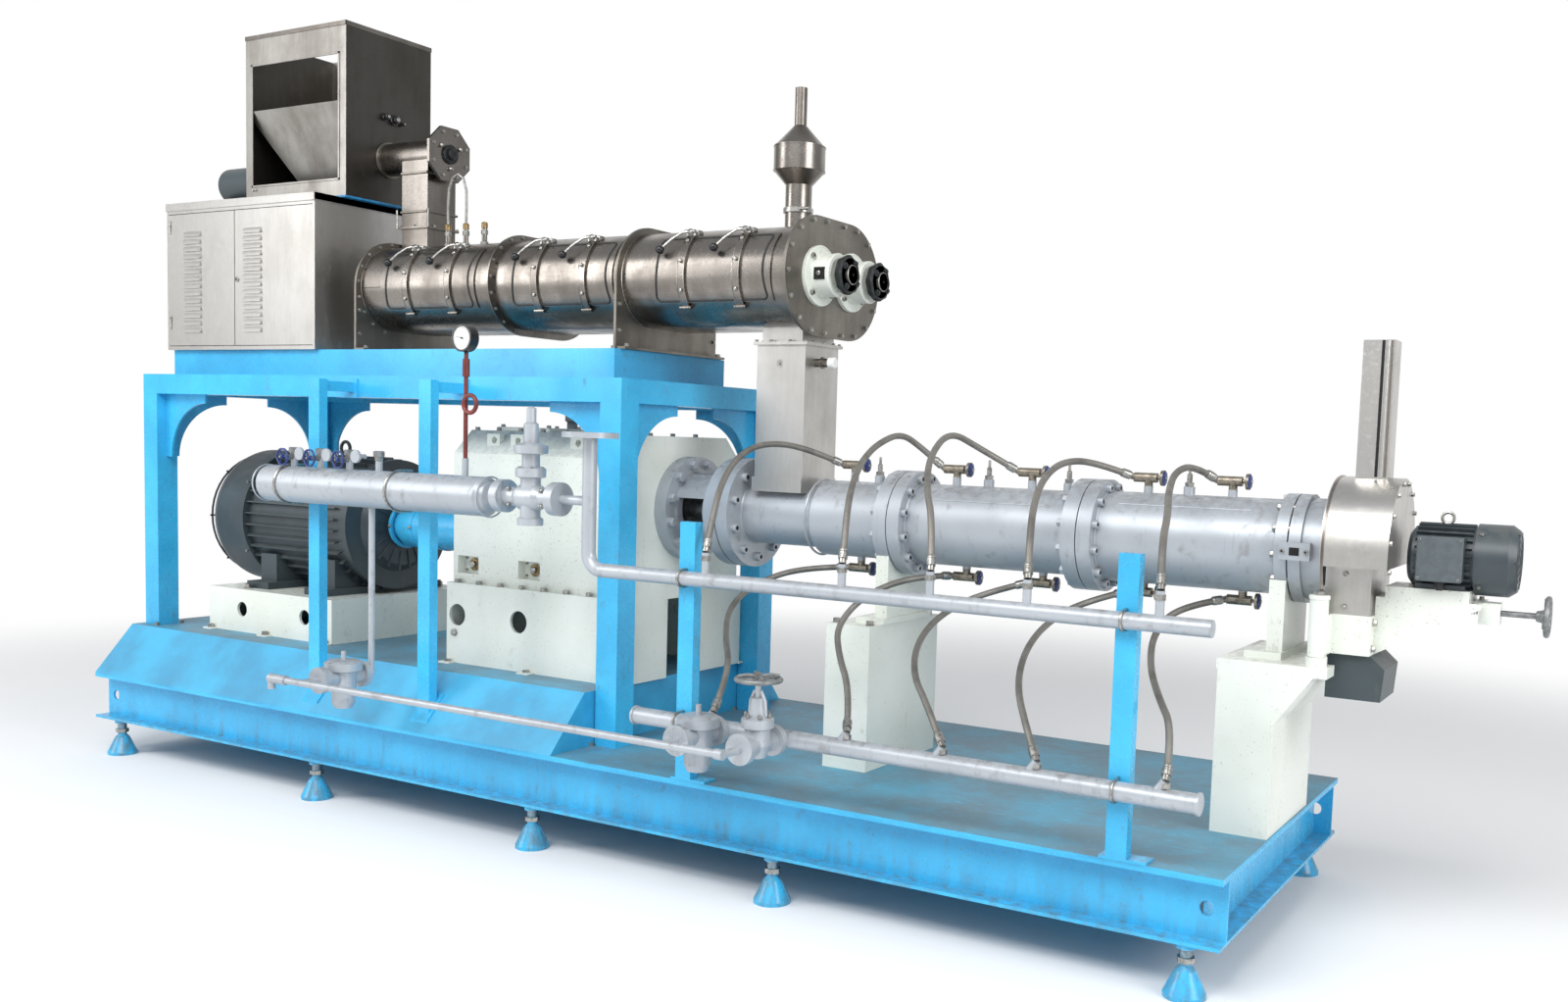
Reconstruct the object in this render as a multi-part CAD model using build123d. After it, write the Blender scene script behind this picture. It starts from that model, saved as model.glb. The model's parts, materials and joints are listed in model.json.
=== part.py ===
from build123d import *
import os
from math import atan2, cos, degrees, pi, radians, sin, sqrt, tan

# Fish feed extruder on a channel skid, in millimetres.
# X runs along the machine towards the cutter, the front is -Y and the floor is Z = 0.
# Build places are counted from the left end of the skid and from the barrel axis,
# and every part is moved by half the overall length when it is written out.

# Skid, deck and feet
foot_height = 157.0
skid_length = 5270.0
skid_width = 1480.0
channel_height = 200.0
channel_flange = 72.0
channel_web = 9.0
channel_flange_thickness = 11.0
deck_thickness = 8.0
raised_deck_length = 2790.0
raised_deck_rise = 208.0
raised_deck_top_half_width = 560.0
raised_deck_plate = 6.0
foot_bell_radius = 62.0
foot_neck_radius = 30.0
foot_stem_radius = 18.0
foot_bell_height = 78.0
foot_places = [145.0, 1480.0, 2675.0, 3750.0, 5165.0]
foot_inset = 36.0
lifting_hole_radius = 22.0
lifting_hole_inset = 60.0

skid_bottom = foot_height
skid_top = skid_bottom + channel_height
deck_top = skid_top + deck_thickness
raised_top = deck_top + raised_deck_rise
half_skid = skid_width / 2

# Table that carries the conditioner
post_size = 100.0
table_left = 20.0
table_right = 2895.0
table_half_width = 506.0
table_top = 1743.0
beam_height = 90.0
gusset_reach = 290.0
gusset_thickness = 10.0
frame_height = 120.0
frame_half_width = 350.0
frame_right = 2725.0
frame_beam_width = 60.0
frame_top = table_top + frame_height
frame_cross_places = [20.0, 985.0, 1900.0, 2665.0]
header_post_places = [3362.0, 4922.0]
header_post_top = 1250.0
vessel_post_places = [1416.0, 2052.0]
vessel_post_top = 1720.0

# Main motor, its base and the coupling guard
axis_height = 1250.0
motor_axis_height = 1088.0
base_half_width = 400.0
motor_base_left = 345.0
motor_base_right = 1190.0
motor_base_top = 770.0
base_plate = 12.0
base_hole_radius = 34.0
motor_pad_height = 32.0
motor_foot_half_width = 330.0
motor_body_radius = 285.0
motor_fin_height = 22.0
motor_fin_count = 36
motor_body_left = 470.0
motor_body_right = 1120.0
motor_cowl_radius = 316.0
motor_cowl_left = 210.0
motor_shield_radius = 215.0
motor_shield_right = 1190.0
guard_radius = 98.0

# Gearbox
gearbox_left = 1880.0
gearbox_right = 2815.0
gearbox_half_width = 350.0
gearbox_base_holes = [1940.0, 2280.0, 2755.0]
gearbox_base_hole_radius = 45.0
gearbox_base_hole_drop = 132.0
gearbox_base_half_width = 385.0
gearbox_split = 905.0
gearbox_top = 1535.0
gearbox_chamfer = 95.0
gearbox_end_window = 110.0
gearbox_windows = [1905.0, 2242.0]
gearbox_window_length = 117.0
gearbox_window_height = 73.0
gearbox_window_low = 943.0
gearbox_window_depth = 40.0
gearbox_hooks = [2030.0, 2160.0, 2480.0]

# Barrel train, from the gearbox to the die
output_flange_radius = 207.0
output_flange_thickness = 56.0
lantern_radius = 147.0
lantern_wall = 30.0
lantern_window_length = 120.0
lantern_window_half_height = 48.0
feed_flange_radius = 211.0
feed_flange_thickness = 54.0
shaft_radius = 60.0
shaft_clearance = 0.3
feed_flange_left = 3056.0
barrel_small_radius = 116.0
barrel_step = 3471.0
barrel_big_radius = 141.0
flange_pair_radius = 190.0
flange_thickness = 53.0
flange_gap = 4.0
pair_a_left = 3790.0
barrel_two_radius = 145.0
pair_b_left = 4510.0
barrel_three_radius = 152.0
die_flange_left = 5214.0
die_flange_radius = 172.0
die_flange_thickness = 38.0
die_ring_right = 5358.0

# Cream pillars under the barrel
pillar_length = 180.0
mid_pillar_left = 3655.0
end_pillar_left = 5085.0
pillar_half_width = 260.0
mid_pillar_top = 888.0
end_plate_top = 910.0
end_plate_thickness = 32.0
end_plate_right = 5376.0
hinge_ear_right = 5415.0
hinge_ear_depth = 100.0
pillar_head_height = 155.0
pillar_head_right = 5375.0
saddle_thickness = 50.0
saddle_half_width = 150.0

# Cutter
hinge_x = 5374.0
hinge_y = -226.0
hinge_radius = 28.0
hinge_pin_radius = 14.0
hinge_clearance = 0.3
hinge_height = 205.0
hinge_boss_height = 30.0
arm_front = -150.0
arm_rear = 120.0
arm_right = 5512.0
arm_wall = 14.0
hood_left = 5366.0
hood_right = 5562.0
hood_radius = 233.0
hood_wall = 4.0
hood_joint = 1215.0
hood_lower_half_width = 150.0
hood_lower_right = 5506.0
stack_left = 5421.0
stack_size = 95.0
stack_top = 1900.0
cutter_box_bottom = 1066.0
cutter_frame_bottom = 945.0
chute_left = 5384.0
chute_right = 5556.0
chute_front = -130.0
chute_rear = 100.0
chute_bottom = 806.0
bracket_right = 5808.0
bracket_half_width = 95.0
bracket_plate = 16.0
bracket_top = 1124.0
slide_thickness = 34.0
slide_travel = 20.0
slide_clearance = 0.3
cutter_motor_radius = 92.0
cutter_motor_left = 5590.0
cutter_motor_right = 5895.0
cutter_cowl_radius = 107.0
wheel_radius = 62.0
wheel_right = 5990.0
screw_radius = 9.0
screw_drop = 14.0
nut_length = 46.0
nut_half_width = 34.0

# Conditioner
conditioner_rise = 277.0
conditioner_height = frame_top + conditioner_rise
conditioner_left = 1232.0
conditioner_right = 3470.0
shaft_spacing = 222.0
shell_radius = 182.0
shell_wall = 6.0
end_plate_radius = 219.0
conditioner_plate = 12.0
middle_ring = 2018.0
steam_stubs = [1597.0, 1704.0, 1813.0]
support_half_width = 318.0
mid_support_left = 2690.0
hatch_wall = 5.0
hatch_places = [1650.0, 2385.0, 3120.0]
hatch_length = 500.0
hatch_half_angle = 36.0
hatch_centre_angle = 8.0
hatch_gap = 0.5
hatch_lap = 25.0
hatch_band_lap = 35.0
hatch_band_half_width = 16.0
hatch_band_thickness = 8.0
hatch_band_offset = 125.0
hatch_knuckle_radius = 8.0
hatch_knuckle_gap = 5.0
hatch_pin_radius = 4.0
hatch_hinge_angle = 38.5
hatch_lug_gap = 1.0
hatch_lug_length = 8.0
paddle_shaft_radius = 34.0
paddle_reach = 96.0
paddle_half_width = 22.0
paddle_thickness = 14.0
bearing_radius = 88.0
bearing_length = 90.0
vent_x = 3312.0
vent_pipe_radius = 50.0
vent_pipe_length = 172.5
vent_cone_length = 53.0
vent_drum_radius = 97.0
vent_drum_length = 89.0
vent_top_cone_length = 80.0
vent_tube_radius = 23.0
vent_tube_length = 139.0
outlet_left = 3222.0
outlet_right = 3438.0
outlet_half_width = 115.0
outlet_neck_height = 60.0
outlet_flange_thickness = 12.0
outlet_flange_lap = 12.0
outlet_body_rise = 145.0
outlet_seat_gap = 0.3
feed_chute_left = 1255.0
feed_chute_right = 1415.0
feed_chute_half_width = 80.0
feed_chute_flange_rise = 90.0
feed_chute_flange_lap = 12.0
feed_chute_flange_thickness = 10.0

# Cabinet, hopper and feeder
cabinet_left = 5.0
cabinet_right = 1045.0
cabinet_half_width = 372.0
cabinet_top = 2510.0
cabinet_lid = 30.0
louvre_columns = [130.0, 560.0]
louvre_length = 130.0
louvre_count = 14
louvre_pitch = 34.0
louvre_low = 1945.0
louvre_height = 14.0
sheet = 4.0
hopper_left = 400.0
hopper_right = 1080.0
hopper_half_width = 238.0
hopper_top = 3300.0
hopper_window_low = 2620.0
hopper_window_high = 3165.0
funnel_top = 2960.0
funnel_throat = 150.0
feeder_height = 2740.0
feeder_tube_radius = 72.0
feeder_right = 1450.0

# Steam line along the front, held by four slim posts
pipe_post_width = 64.0
pipe_post_depth = 40.0
header_post_front = -741.0
upper_header_radius = 25.0
lower_header_radius = 29.0
steam_y = header_post_front - upper_header_radius
vessel_radius = 73.0
vessel_post_front = steam_y + vessel_radius
vessel_height = 1292.0
vessel_left = 1240.0
vessel_right = 2530.0
vessel_stub_places = [1424.0, 1584.0, 1751.0, 1917.0]
vessel_stub_height = 68.0
gauge_x = 2379.0
gauge_height = 1868.0
gauge_radius = 50.0
siphon_radius = 8.0
valve_line_height = 1300.0
reducer_x = 2705.0
reducer_face = 150.0
reducer_flange_radius = 60.0
riser_x = 2981.0
riser_top = 1520.0
riser_flange_radius = 98.0
branch_radius = 17.0
upper_header_height = 1062.0
upper_header_right = 5211.0
elbow_radius = 60.0
header_stub_radius = 13.0
header_stub_top = 1155.0
header_stub_places = [3490.0, 4022.0, 4335.0, 4656.0, 5058.0]
lower_header_height = 574.0
lower_header_left = 3210.0
lower_header_right = 5201.0
return_places = [3500.0, 4022.0, 4362.0, 4672.0, 5062.0]
return_run = 38.0
return_rise = 50.0
trap_places = [1878.0, 3574.0]
trap_rear = -799.0
trap_face = 216.0
trap_flange_radius = 50.0
trap_body_radius = 48.0
globe_x = 3808.0
globe_face = 200.0
drain_y = -1085.0
drain_radius = 13.0
drain_left = 1700.0

# Small needle valves on the barrel
needle_top_height = 1452.0
needle_low_height = 1068.0
needle_half_length = 50.0
needle_stub = 28.0
needle_body_radius = 16.0
needle_wheel_radius = 26.0
top_stub_places = [3600.0, 4028.0, 4322.0, 4745.0, 5030.0]
bottom_stub_places = [3640.0, 4080.0, 4378.0, 4745.0, 5080.0]

# Steam hoses, each given by points chosen along its run
hose_radius = 11.0
supply_routes = {
    "supply_hose_1": [(3490, -766, 1155), (3460, -685, 1297), (3402, -557, 1399), (3362, -408, 1480),
                      (3372, -270, 1524), (3460, -145, 1515), (3550, 0, 1452)],
    "supply_hose_2": [(4022, -766, 1155), (3996, -711, 1263), (3952, -623, 1351), (3910, -521, 1423),
                      (3877, -408, 1484), (3863, -288, 1536), (3882, -164, 1575), (3908, -52, 1524),
                      (3978, 0, 1452)],
    "supply_hose_3": [(4335, -766, 1155), (4295, -688, 1306), (4200, -556, 1396), (4132, -417, 1499),
                      (4121, -257, 1587), (4154, -89, 1531), (4272, 0, 1452)],
    "supply_hose_4": [(4656, -766, 1155), (4621, -683, 1282), (4571, -551, 1367), (4539, -410, 1447),
                      (4542, -255, 1500), (4592, -99, 1498), (4695, 0, 1452)],
    "supply_hose_5": [(5058, -766, 1155), (5026, -678, 1284), (4989, -527, 1353), (4938, -377, 1420),
                      (4907, -226, 1480), (4920, -75, 1500), (4980, 0, 1452)],
}
return_routes = {
    "return_hose_1": [(3590, 0, 1068), (3408, -41, 1056), (3304, -192, 1003), (3304, -368, 928),
                      (3394, -516, 842), (3510, -639, 747), (3538, -770, 624)],
    "return_hose_2": [(4030, 0, 1068), (3950, -140, 1072), (3830, -290, 1008), (3790, -410, 905),
                      (3875, -530, 824), (3995, -650, 736), (4060, -770, 624)],
    "return_hose_3": [(4328, 0, 1068), (4168, -66, 1019), (4098, -229, 954), (4106, -405, 882),
                      (4176, -562, 798), (4301, -684, 723), (4400, -770, 624)],
    "return_hose_4": [(4695, 0, 1068), (4547, -66, 1021), (4484, -222, 954), (4490, -390, 884),
                      (4538, -546, 802), (4627, -684, 723), (4710, -770, 624)],
    "return_hose_5": [(5030, 0, 1068), (4900, -94, 1041), (4869, -246, 967), (4911, -393, 883),
                      (4990, -534, 816), (5083, -667, 749), (5100, -770, 624)],
}

overall_length = wheel_right
machine_centre_x = overall_length / 2
hatch_hinge_distance = shell_radius + hatch_knuckle_gap + hatch_knuckle_radius
rear_most = half_skid - foot_inset + foot_bell_radius
front_most = drain_y - drain_radius
machine_centre_y = (rear_most + front_most) / 2


def block(x0, x1, y0, y1, z0, z1):
    """A box given by its six limits."""
    middle = Pos((x0 + x1) / 2, (y0 + y1) / 2, (z0 + z1) / 2)
    return middle * Box(x1 - x0, y1 - y0, z1 - z0)


def rod_x(x0, x1, radius, y=0.0, z=0.0):
    """A round bar along X."""
    return Pos((x0 + x1) / 2, y, z) * Rot(0, 90, 0) * Cylinder(radius, x1 - x0)


def rod_y(y0, y1, radius, x, z):
    """A round bar along Y."""
    return Pos(x, (y0 + y1) / 2, z) * Rot(90, 0, 0) * Cylinder(radius, y1 - y0)


def rod_z(z0, z1, radius, x, y):
    """A round bar along Z."""
    return Pos(x, y, (z0 + z1) / 2) * Cylinder(radius, z1 - z0)


def prism_x(points, x0, x1):
    """A prism along X from an outline of (y, z) points."""
    face = Plane.YZ.offset(x0) * Polygon(*points, align=None)
    return extrude(face, amount=x1 - x0, dir=(1, 0, 0))


def prism_y(points, y0, y1):
    """A prism along Y from an outline of (x, z) points."""
    face = Plane.XZ.offset(-y1) * Polygon(*points, align=None)
    return extrude(face, amount=y1 - y0, dir=(0, -1, 0))


def turned_x(points, y=0.0, z=0.0):
    """A turned shape about an axis along X, from (x, radius) points."""
    return Pos(0, y, z) * revolve(Plane.XZ * Polygon(*points, align=None), Axis.X)


def turned_z(points, x=0.0, y=0.0):
    """A turned shape about an upright axis, from (radius, z) points."""
    return Pos(x, y, 0) * revolve(Plane.XZ * Polygon(*points, align=None), Axis.Z)


def obround(radius, x0, x1):
    """The conditioner's twin-round section, drawn out along X."""
    section = SlotCenterToCenter(shaft_spacing, 2 * radius)
    return Pos(0, 0, conditioner_height) * extrude(Plane.YZ.offset(x0) * section, amount=x1 - x0)


def skid_channel(length):
    """A rolled channel along X with its back towards +Y and its flanges towards -Y."""
    return prism_x([
        (0, 0), (0, channel_height), (-channel_flange, channel_height),
        (-channel_flange, channel_height - channel_flange_thickness),
        (-channel_web, channel_height - channel_flange_thickness),
        (-channel_web, channel_flange_thickness),
        (-channel_flange, channel_flange_thickness), (-channel_flange, 0)], 0, length)


def skid_long_channels():
    front = Pos(0, channel_flange - half_skid, skid_bottom) * skid_channel(skid_length)
    for x in (lifting_hole_inset, skid_length - lifting_hole_inset):
        front -= rod_y(-half_skid - 1, 0, lifting_hole_radius, x, skid_bottom + channel_height / 2)
    rear = Rot(0, 0, 180) * front
    rear = Pos(skid_length, 0, 0) * rear
    return Compound([front, rear])


def skid_cross_channels():
    """Two end channels with their flanges outwards, and bearers between them."""
    clear = half_skid - channel_flange
    span = 2 * clear
    right = Rot(0, 0, 90) * (Pos(-span / 2, 0, skid_bottom) * skid_channel(span))
    right = Pos(skid_length - channel_flange, 0, 0) * right
    left = Pos(skid_length, 0, 0) * Rot(0, 0, 180) * right
    pieces = [left, right]
    for x in foot_places[1:-1]:
        pieces.append(block(x - 40, x + 40, -clear, clear, skid_bottom, skid_top))
    return Compound(pieces)


def deck_plate():
    return block(0, skid_length, -half_skid, half_skid, skid_top, deck_top)


def raised_deck():
    """A folded plate with sloping sides, closed at both ends and open underneath."""
    outer = [(-half_skid, deck_top), (-raised_deck_top_half_width, raised_top),
             (raised_deck_top_half_width, raised_top), (half_skid, deck_top)]
    slope = raised_deck_plate * 1.4
    inner = [(-half_skid + 2 * slope, deck_top - 1),
             (-raised_deck_top_half_width + slope, raised_top - raised_deck_plate),
             (raised_deck_top_half_width - slope, raised_top - raised_deck_plate),
             (half_skid - 2 * slope, deck_top - 1)]
    shell = prism_x(outer, 0, raised_deck_length)
    return shell - prism_x(inner, raised_deck_plate, raised_deck_length - raised_deck_plate)


def levelling_feet():
    profile = [(0, 0), (foot_bell_radius, 0), (foot_bell_radius, 12),
               (foot_neck_radius, foot_bell_height), (foot_stem_radius, foot_bell_height + 12),
               (foot_stem_radius, foot_height - 14), (foot_neck_radius, foot_height - 14),
               (foot_neck_radius, foot_height), (0, foot_height)]
    foot = turned_z(profile)
    feet = []
    for x in foot_places:
        for side in (-1, 1):
            feet.append(Pos(x, side * (half_skid - foot_inset), 0) * foot)
    return Compound(feet)


def table_posts():
    posts = []
    for side in (-1, 1):
        y_out = side * table_half_width
        y_in = side * (table_half_width - post_size)
        y0, y1 = min(y_out, y_in), max(y_out, y_in)
        posts.append(block(table_left, table_left + post_size, y0, y1, raised_top, table_top))
        posts.append(block(table_right - post_size, table_right, y0, y1, deck_top, table_top))
    return Compound(posts)


def gusset_x(x_corner, direction, side):
    """A corner plate in the XZ plane with a quarter-round cut-out."""
    under = table_top - beam_height
    y0 = side * (table_half_width - post_size / 2) - gusset_thickness / 2
    plate = block(min(x_corner, x_corner + direction * gusset_reach),
                  max(x_corner, x_corner + direction * gusset_reach),
                  y0, y0 + gusset_thickness, under - gusset_reach, under)
    cut = rod_y(y0 - 1, y0 + gusset_thickness + 1, gusset_reach - 40,
                x_corner + direction * gusset_reach, under - gusset_reach)
    return plate - cut


def gusset_y(x_mid, side):
    """A corner plate in the YZ plane with a quarter-round cut-out."""
    under = table_top - beam_height
    y_corner = side * (table_half_width - post_size)
    y_far = y_corner - side * gusset_reach
    plate = block(x_mid - gusset_thickness / 2, x_mid + gusset_thickness / 2,
                  min(y_corner, y_far), max(y_corner, y_far), under - gusset_reach, under)
    cut = rod_x(x_mid - gusset_thickness, x_mid + gusset_thickness, gusset_reach - 40,
                y_far, under - gusset_reach)
    return plate - cut


def table_beams():
    """Four beams between the posts."""
    inner_left = table_left + post_size
    inner_right = table_right - post_size
    under = table_top - beam_height
    inner = table_half_width - post_size
    beams = []
    for side in (-1, 1):
        y_out = side * table_half_width
        y_in = side * inner
        beams.append(block(inner_left, inner_right, min(y_out, y_in), max(y_out, y_in),
                           under, table_top))
    for x in (table_left, inner_right):
        beams.append(block(x, x + post_size, -inner, inner, under, table_top))
    return Compound(beams)


def table_gussets():
    """Eight corner plates, two at the head of each post."""
    gussets = []
    for side in (-1, 1):
        gussets.append(gusset_x(table_left + post_size, 1, side))
        gussets.append(gusset_x(table_right - post_size, -1, side))
        gussets.append(gusset_y(table_left + post_size / 2, side))
        gussets.append(gusset_y(table_right - post_size / 2, side))
    return Compound(gussets)


def frame_rails():
    """Two long beams that lie on the table and carry the conditioner."""
    rails = []
    for side in (-1, 1):
        y_out = side * frame_half_width
        y_in = side * (frame_half_width - frame_beam_width)
        rails.append(block(table_left, frame_right, min(y_out, y_in), max(y_out, y_in),
                           table_top, frame_top))
    return Compound(rails)


def frame_cross_beams():
    inner = frame_half_width - frame_beam_width
    beams = []
    for x in frame_cross_places:
        beams.append(block(x, x + frame_beam_width, -inner, inner, table_top, frame_top))
    return Compound(beams)


def slope_height(y):
    """Height of the raised deck's sloping side at a distance from the centre."""
    run = half_skid - raised_deck_top_half_width
    return deck_top + (half_skid - abs(y)) * raised_deck_rise / run


def pipe_posts():
    """Four slim posts: two with arms to the table, two along the barrel."""
    posts = []
    for x in header_post_places:
        y0 = header_post_front
        post = block(x, x + pipe_post_width, y0, y0 + pipe_post_depth, deck_top, header_post_top)
        post += block(x - 20, x + pipe_post_width + 60, y0, y0 + pipe_post_depth + 25,
                      deck_top, deck_top + 8)
        posts.append(post)
    for x in vessel_post_places:
        y0 = vessel_post_front
        y1 = y0 + pipe_post_depth
        post = block(x, x + pipe_post_width, y0, y1, deck_top, vessel_post_top)
        foot = [(y0 - 22, slope_height(y0 - 22)), (y0 - 22, slope_height(y0 - 22) + 10),
                (y1 + 22, slope_height(y1 + 22) + 10), (y1 + 22, slope_height(y1 + 22))]
        slope = [(-half_skid, deck_top), (-raised_deck_top_half_width, raised_top),
                 (raised_deck_top_half_width, raised_top), (half_skid, deck_top)]
        post -= prism_x(slope, x - 1, x + pipe_post_width + 1)
        post += prism_x(foot, x - 16, x + pipe_post_width + 16)
        post += block(x + 12, x + pipe_post_width - 12, y1, -table_half_width - 8,
                      vessel_post_top - 46, vessel_post_top - 6)
        post += block(x - 6, x + pipe_post_width + 6, -table_half_width - 8, -table_half_width,
                      vessel_post_top - 70, vessel_post_top + 10)
        posts.append(post)
    return Compound(posts)


def barrel_pillars():
    return Compound([mid_pillar(), end_pillar()])


def machine_bases():
    """Two welded boxes on the raised deck, under the motor and under the gearbox."""
    low = raised_top
    motor = block(motor_base_left, motor_base_right, -base_half_width, base_half_width,
                  low, motor_base_top)
    motor -= block(motor_base_left + base_plate, motor_base_right - base_plate,
                   -base_half_width + base_plate, base_half_width - base_plate,
                   low - 1, motor_base_top - base_plate)
    for x in (motor_base_left + 235, motor_base_right - 180):
        motor -= rod_y(-base_half_width - 1, base_half_width + 1, base_hole_radius,
                       x, low + 105)
    gear = block(gearbox_left, gearbox_right, -gearbox_base_half_width, gearbox_base_half_width,
                 low, gearbox_split)
    gear -= block(gearbox_left + base_plate, gearbox_right - base_plate,
                  -gearbox_base_half_width + base_plate, gearbox_base_half_width - base_plate,
                  low - 1, gearbox_split - base_plate)
    for x in gearbox_base_holes:
        gear -= rod_y(-gearbox_base_half_width - 1, gearbox_base_half_width + 1,
                      gearbox_base_hole_radius, x, gearbox_split - gearbox_base_hole_drop)
    gear -= block(gearbox_right - base_plate - 1, gearbox_right + 1,
                  -gearbox_end_window, gearbox_end_window, low - 1, gearbox_split - 15)
    return Compound([motor, gear])


def main_motor():
    """Foot motor with straight cooling fins, a fan cowl and a stepped end shield."""
    body = rod_x(motor_body_left, motor_body_right, motor_body_radius, 0, motor_axis_height)
    step = 360.0 / motor_fin_count
    for i in range(motor_fin_count):
        fin = block(motor_body_left, motor_body_right - 40, -3.5, 3.5,
                    motor_body_radius - 3, motor_body_radius + motor_fin_height)
        body += Pos(0, 0, motor_axis_height) * Rot(i * step + step / 2, 0, 0) * fin
    shield = turned_x([(motor_body_right, 0), (motor_body_right, motor_body_radius + 12),
                       (motor_body_right + 30, motor_body_radius + 12),
                       (motor_body_right + 30, motor_shield_radius),
                       (motor_shield_right, motor_shield_radius - 30),
                       (motor_shield_right, 0)], 0, motor_axis_height)
    motor = body + shield + motor_cowl()
    for x in (motor_body_left + 50, motor_body_right - 200):
        motor += block(x, x + 150, -motor_foot_half_width, motor_foot_half_width,
                       motor_base_top, motor_base_top + motor_pad_height)
        motor += block(x + 20, x + 130, -motor_foot_half_width + 60, motor_foot_half_width - 60,
                       motor_base_top + motor_pad_height, motor_axis_height - 160)
    return motor


def motor_cowl():
    right = motor_body_left
    return turned_x([(motor_cowl_left, 0), (motor_cowl_left, motor_cowl_radius - 60),
                     (motor_cowl_left + 45, motor_cowl_radius - 8),
                     (motor_cowl_left + 70, motor_cowl_radius), (right, motor_cowl_radius),
                     (right, 0)], 0, motor_axis_height)


def coupling_guard():
    """Plain sheet drum over the coupling, between the motor and the gearbox."""
    left = motor_shield_right
    guard = turned_x([(left, 0), (left, guard_radius - 18), (left + 60, guard_radius - 18),
                      (left + 60, guard_radius), (gearbox_left, guard_radius),
                      (gearbox_left, 0)], 0, motor_axis_height)
    return guard


def gearbox():
    half = gearbox_half_width
    low = half - gearbox_chamfer
    outline = [(-half, gearbox_split), (-half, gearbox_top - gearbox_chamfer),
               (-low, gearbox_top), (low, gearbox_top),
               (half, gearbox_top - gearbox_chamfer), (half, gearbox_split)]
    case = prism_x(outline, gearbox_left, gearbox_right)
    for x in gearbox_windows:
        case -= block(x, x + gearbox_window_length, -half - 1, -half + gearbox_window_depth,
                      gearbox_window_low, gearbox_window_low + gearbox_window_height)
    for side in (-1, 1):
        for x in gearbox_hooks:
            y = side * (half - gearbox_chamfer / 2)
            z = gearbox_top - gearbox_chamfer / 2
            hook = block(x, x + 70, y - 14, y + 14, z - 30, z + 34)
            case += hook - rod_y(y - 15, y + 15, 14, x + 40, z + 8)
    case -= rod_x(gearbox_right - 40, gearbox_right + 1, shaft_radius + shaft_clearance,
                  0, axis_height)
    return case


def output_neck():
    """Lantern between the gearbox and the feed barrel, with four windows on the shaft."""
    left = gearbox_right
    right = feed_flange_left
    neck = turned_x([(left, 0), (left, output_flange_radius),
                     (left + output_flange_thickness, output_flange_radius),
                     (left + output_flange_thickness, lantern_radius),
                     (right, lantern_radius), (right, feed_flange_radius),
                     (right + feed_flange_thickness, feed_flange_radius),
                     (right + feed_flange_thickness, 0)], 0, axis_height)
    neck -= rod_x(left + 25, right + feed_flange_thickness - 20, lantern_radius - lantern_wall,
                  0, axis_height)
    neck -= rod_x(left - 1, right + feed_flange_thickness + 1, shaft_radius + 5, 0, axis_height)
    window = left + output_flange_thickness + 12
    for turn in (0, 90):
        cut = block(window, window + lantern_window_length, -lantern_radius - 1,
                    lantern_radius + 1, -lantern_window_half_height, lantern_window_half_height)
        neck -= Pos(0, 0, axis_height) * Rot(turn, 0, 0) * cut
    return neck


def drive_shaft():
    left = gearbox_right - 38
    right = feed_flange_left + feed_flange_thickness + 38
    shaft = rod_x(left, right, shaft_radius, 0, axis_height)
    return shaft


def barrel_piece(profile):
    return turned_x(profile, 0, axis_height)


def barrel_stub(x, top):
    """A short steam stub on the barrel's jacket, upwards or downwards."""
    if top:
        return rod_z(axis_height + 100, needle_top_height - needle_stub, 15, x, 0)
    return rod_z(needle_low_height + needle_stub, axis_height - 100, 15, x, 0)


def with_stubs(barrel, left, right):
    for x in top_stub_places:
        if left < x < right:
            barrel += barrel_stub(x, True)
    for x in bottom_stub_places:
        if left < x < right:
            barrel += barrel_stub(x, False)
    return barrel


def barrel_one():
    left = feed_flange_left + feed_flange_thickness
    face = left + feed_flange_thickness
    right = pair_a_left + flange_thickness
    barrel = barrel_piece([(left, 0), (left, feed_flange_radius), (face, feed_flange_radius),
                           (face, barrel_small_radius), (barrel_step, barrel_small_radius),
                           (barrel_step + 20, barrel_big_radius), (pair_a_left, barrel_big_radius),
                           (pair_a_left, flange_pair_radius), (right, flange_pair_radius),
                           (right, 0)])
    barrel -= rod_x(left - 1, left + 40, shaft_radius + shaft_clearance, 0, axis_height)
    return with_stubs(barrel, left, right)


def barrel_two():
    left = pair_a_left + flange_thickness
    right = pair_b_left + flange_thickness
    barrel = barrel_piece([(left, 0), (left, barrel_two_radius), (left + flange_gap, barrel_two_radius),
                           (left + flange_gap, flange_pair_radius),
                           (left + flange_thickness, flange_pair_radius),
                           (left + flange_thickness, barrel_two_radius),
                           (pair_b_left, barrel_two_radius), (pair_b_left, flange_pair_radius),
                           (right, flange_pair_radius), (right, 0)])
    return with_stubs(barrel, left, right)


def barrel_three():
    left = pair_b_left + flange_thickness
    right = die_flange_left + die_flange_thickness
    barrel = barrel_piece([(left, 0), (left, barrel_three_radius),
                           (left + flange_gap, barrel_three_radius),
                           (left + flange_gap, flange_pair_radius),
                           (left + flange_thickness, flange_pair_radius),
                           (left + flange_thickness, barrel_three_radius),
                           (die_flange_left, barrel_three_radius),
                           (die_flange_left, die_flange_radius),
                           (right, die_flange_radius), (right, 0)])
    return with_stubs(barrel, left, right)


def die_head():
    left = die_flange_left + die_flange_thickness
    die = barrel_piece([(left, 0), (left, die_flange_radius - 20), (left + 5, die_flange_radius - 20),
                        (left + 5, die_flange_radius), (left + 42, die_flange_radius),
                        (left + 42, die_flange_radius - 12), (die_ring_right, die_flange_radius - 12),
                        (die_ring_right, 0)])
    return die


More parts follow.
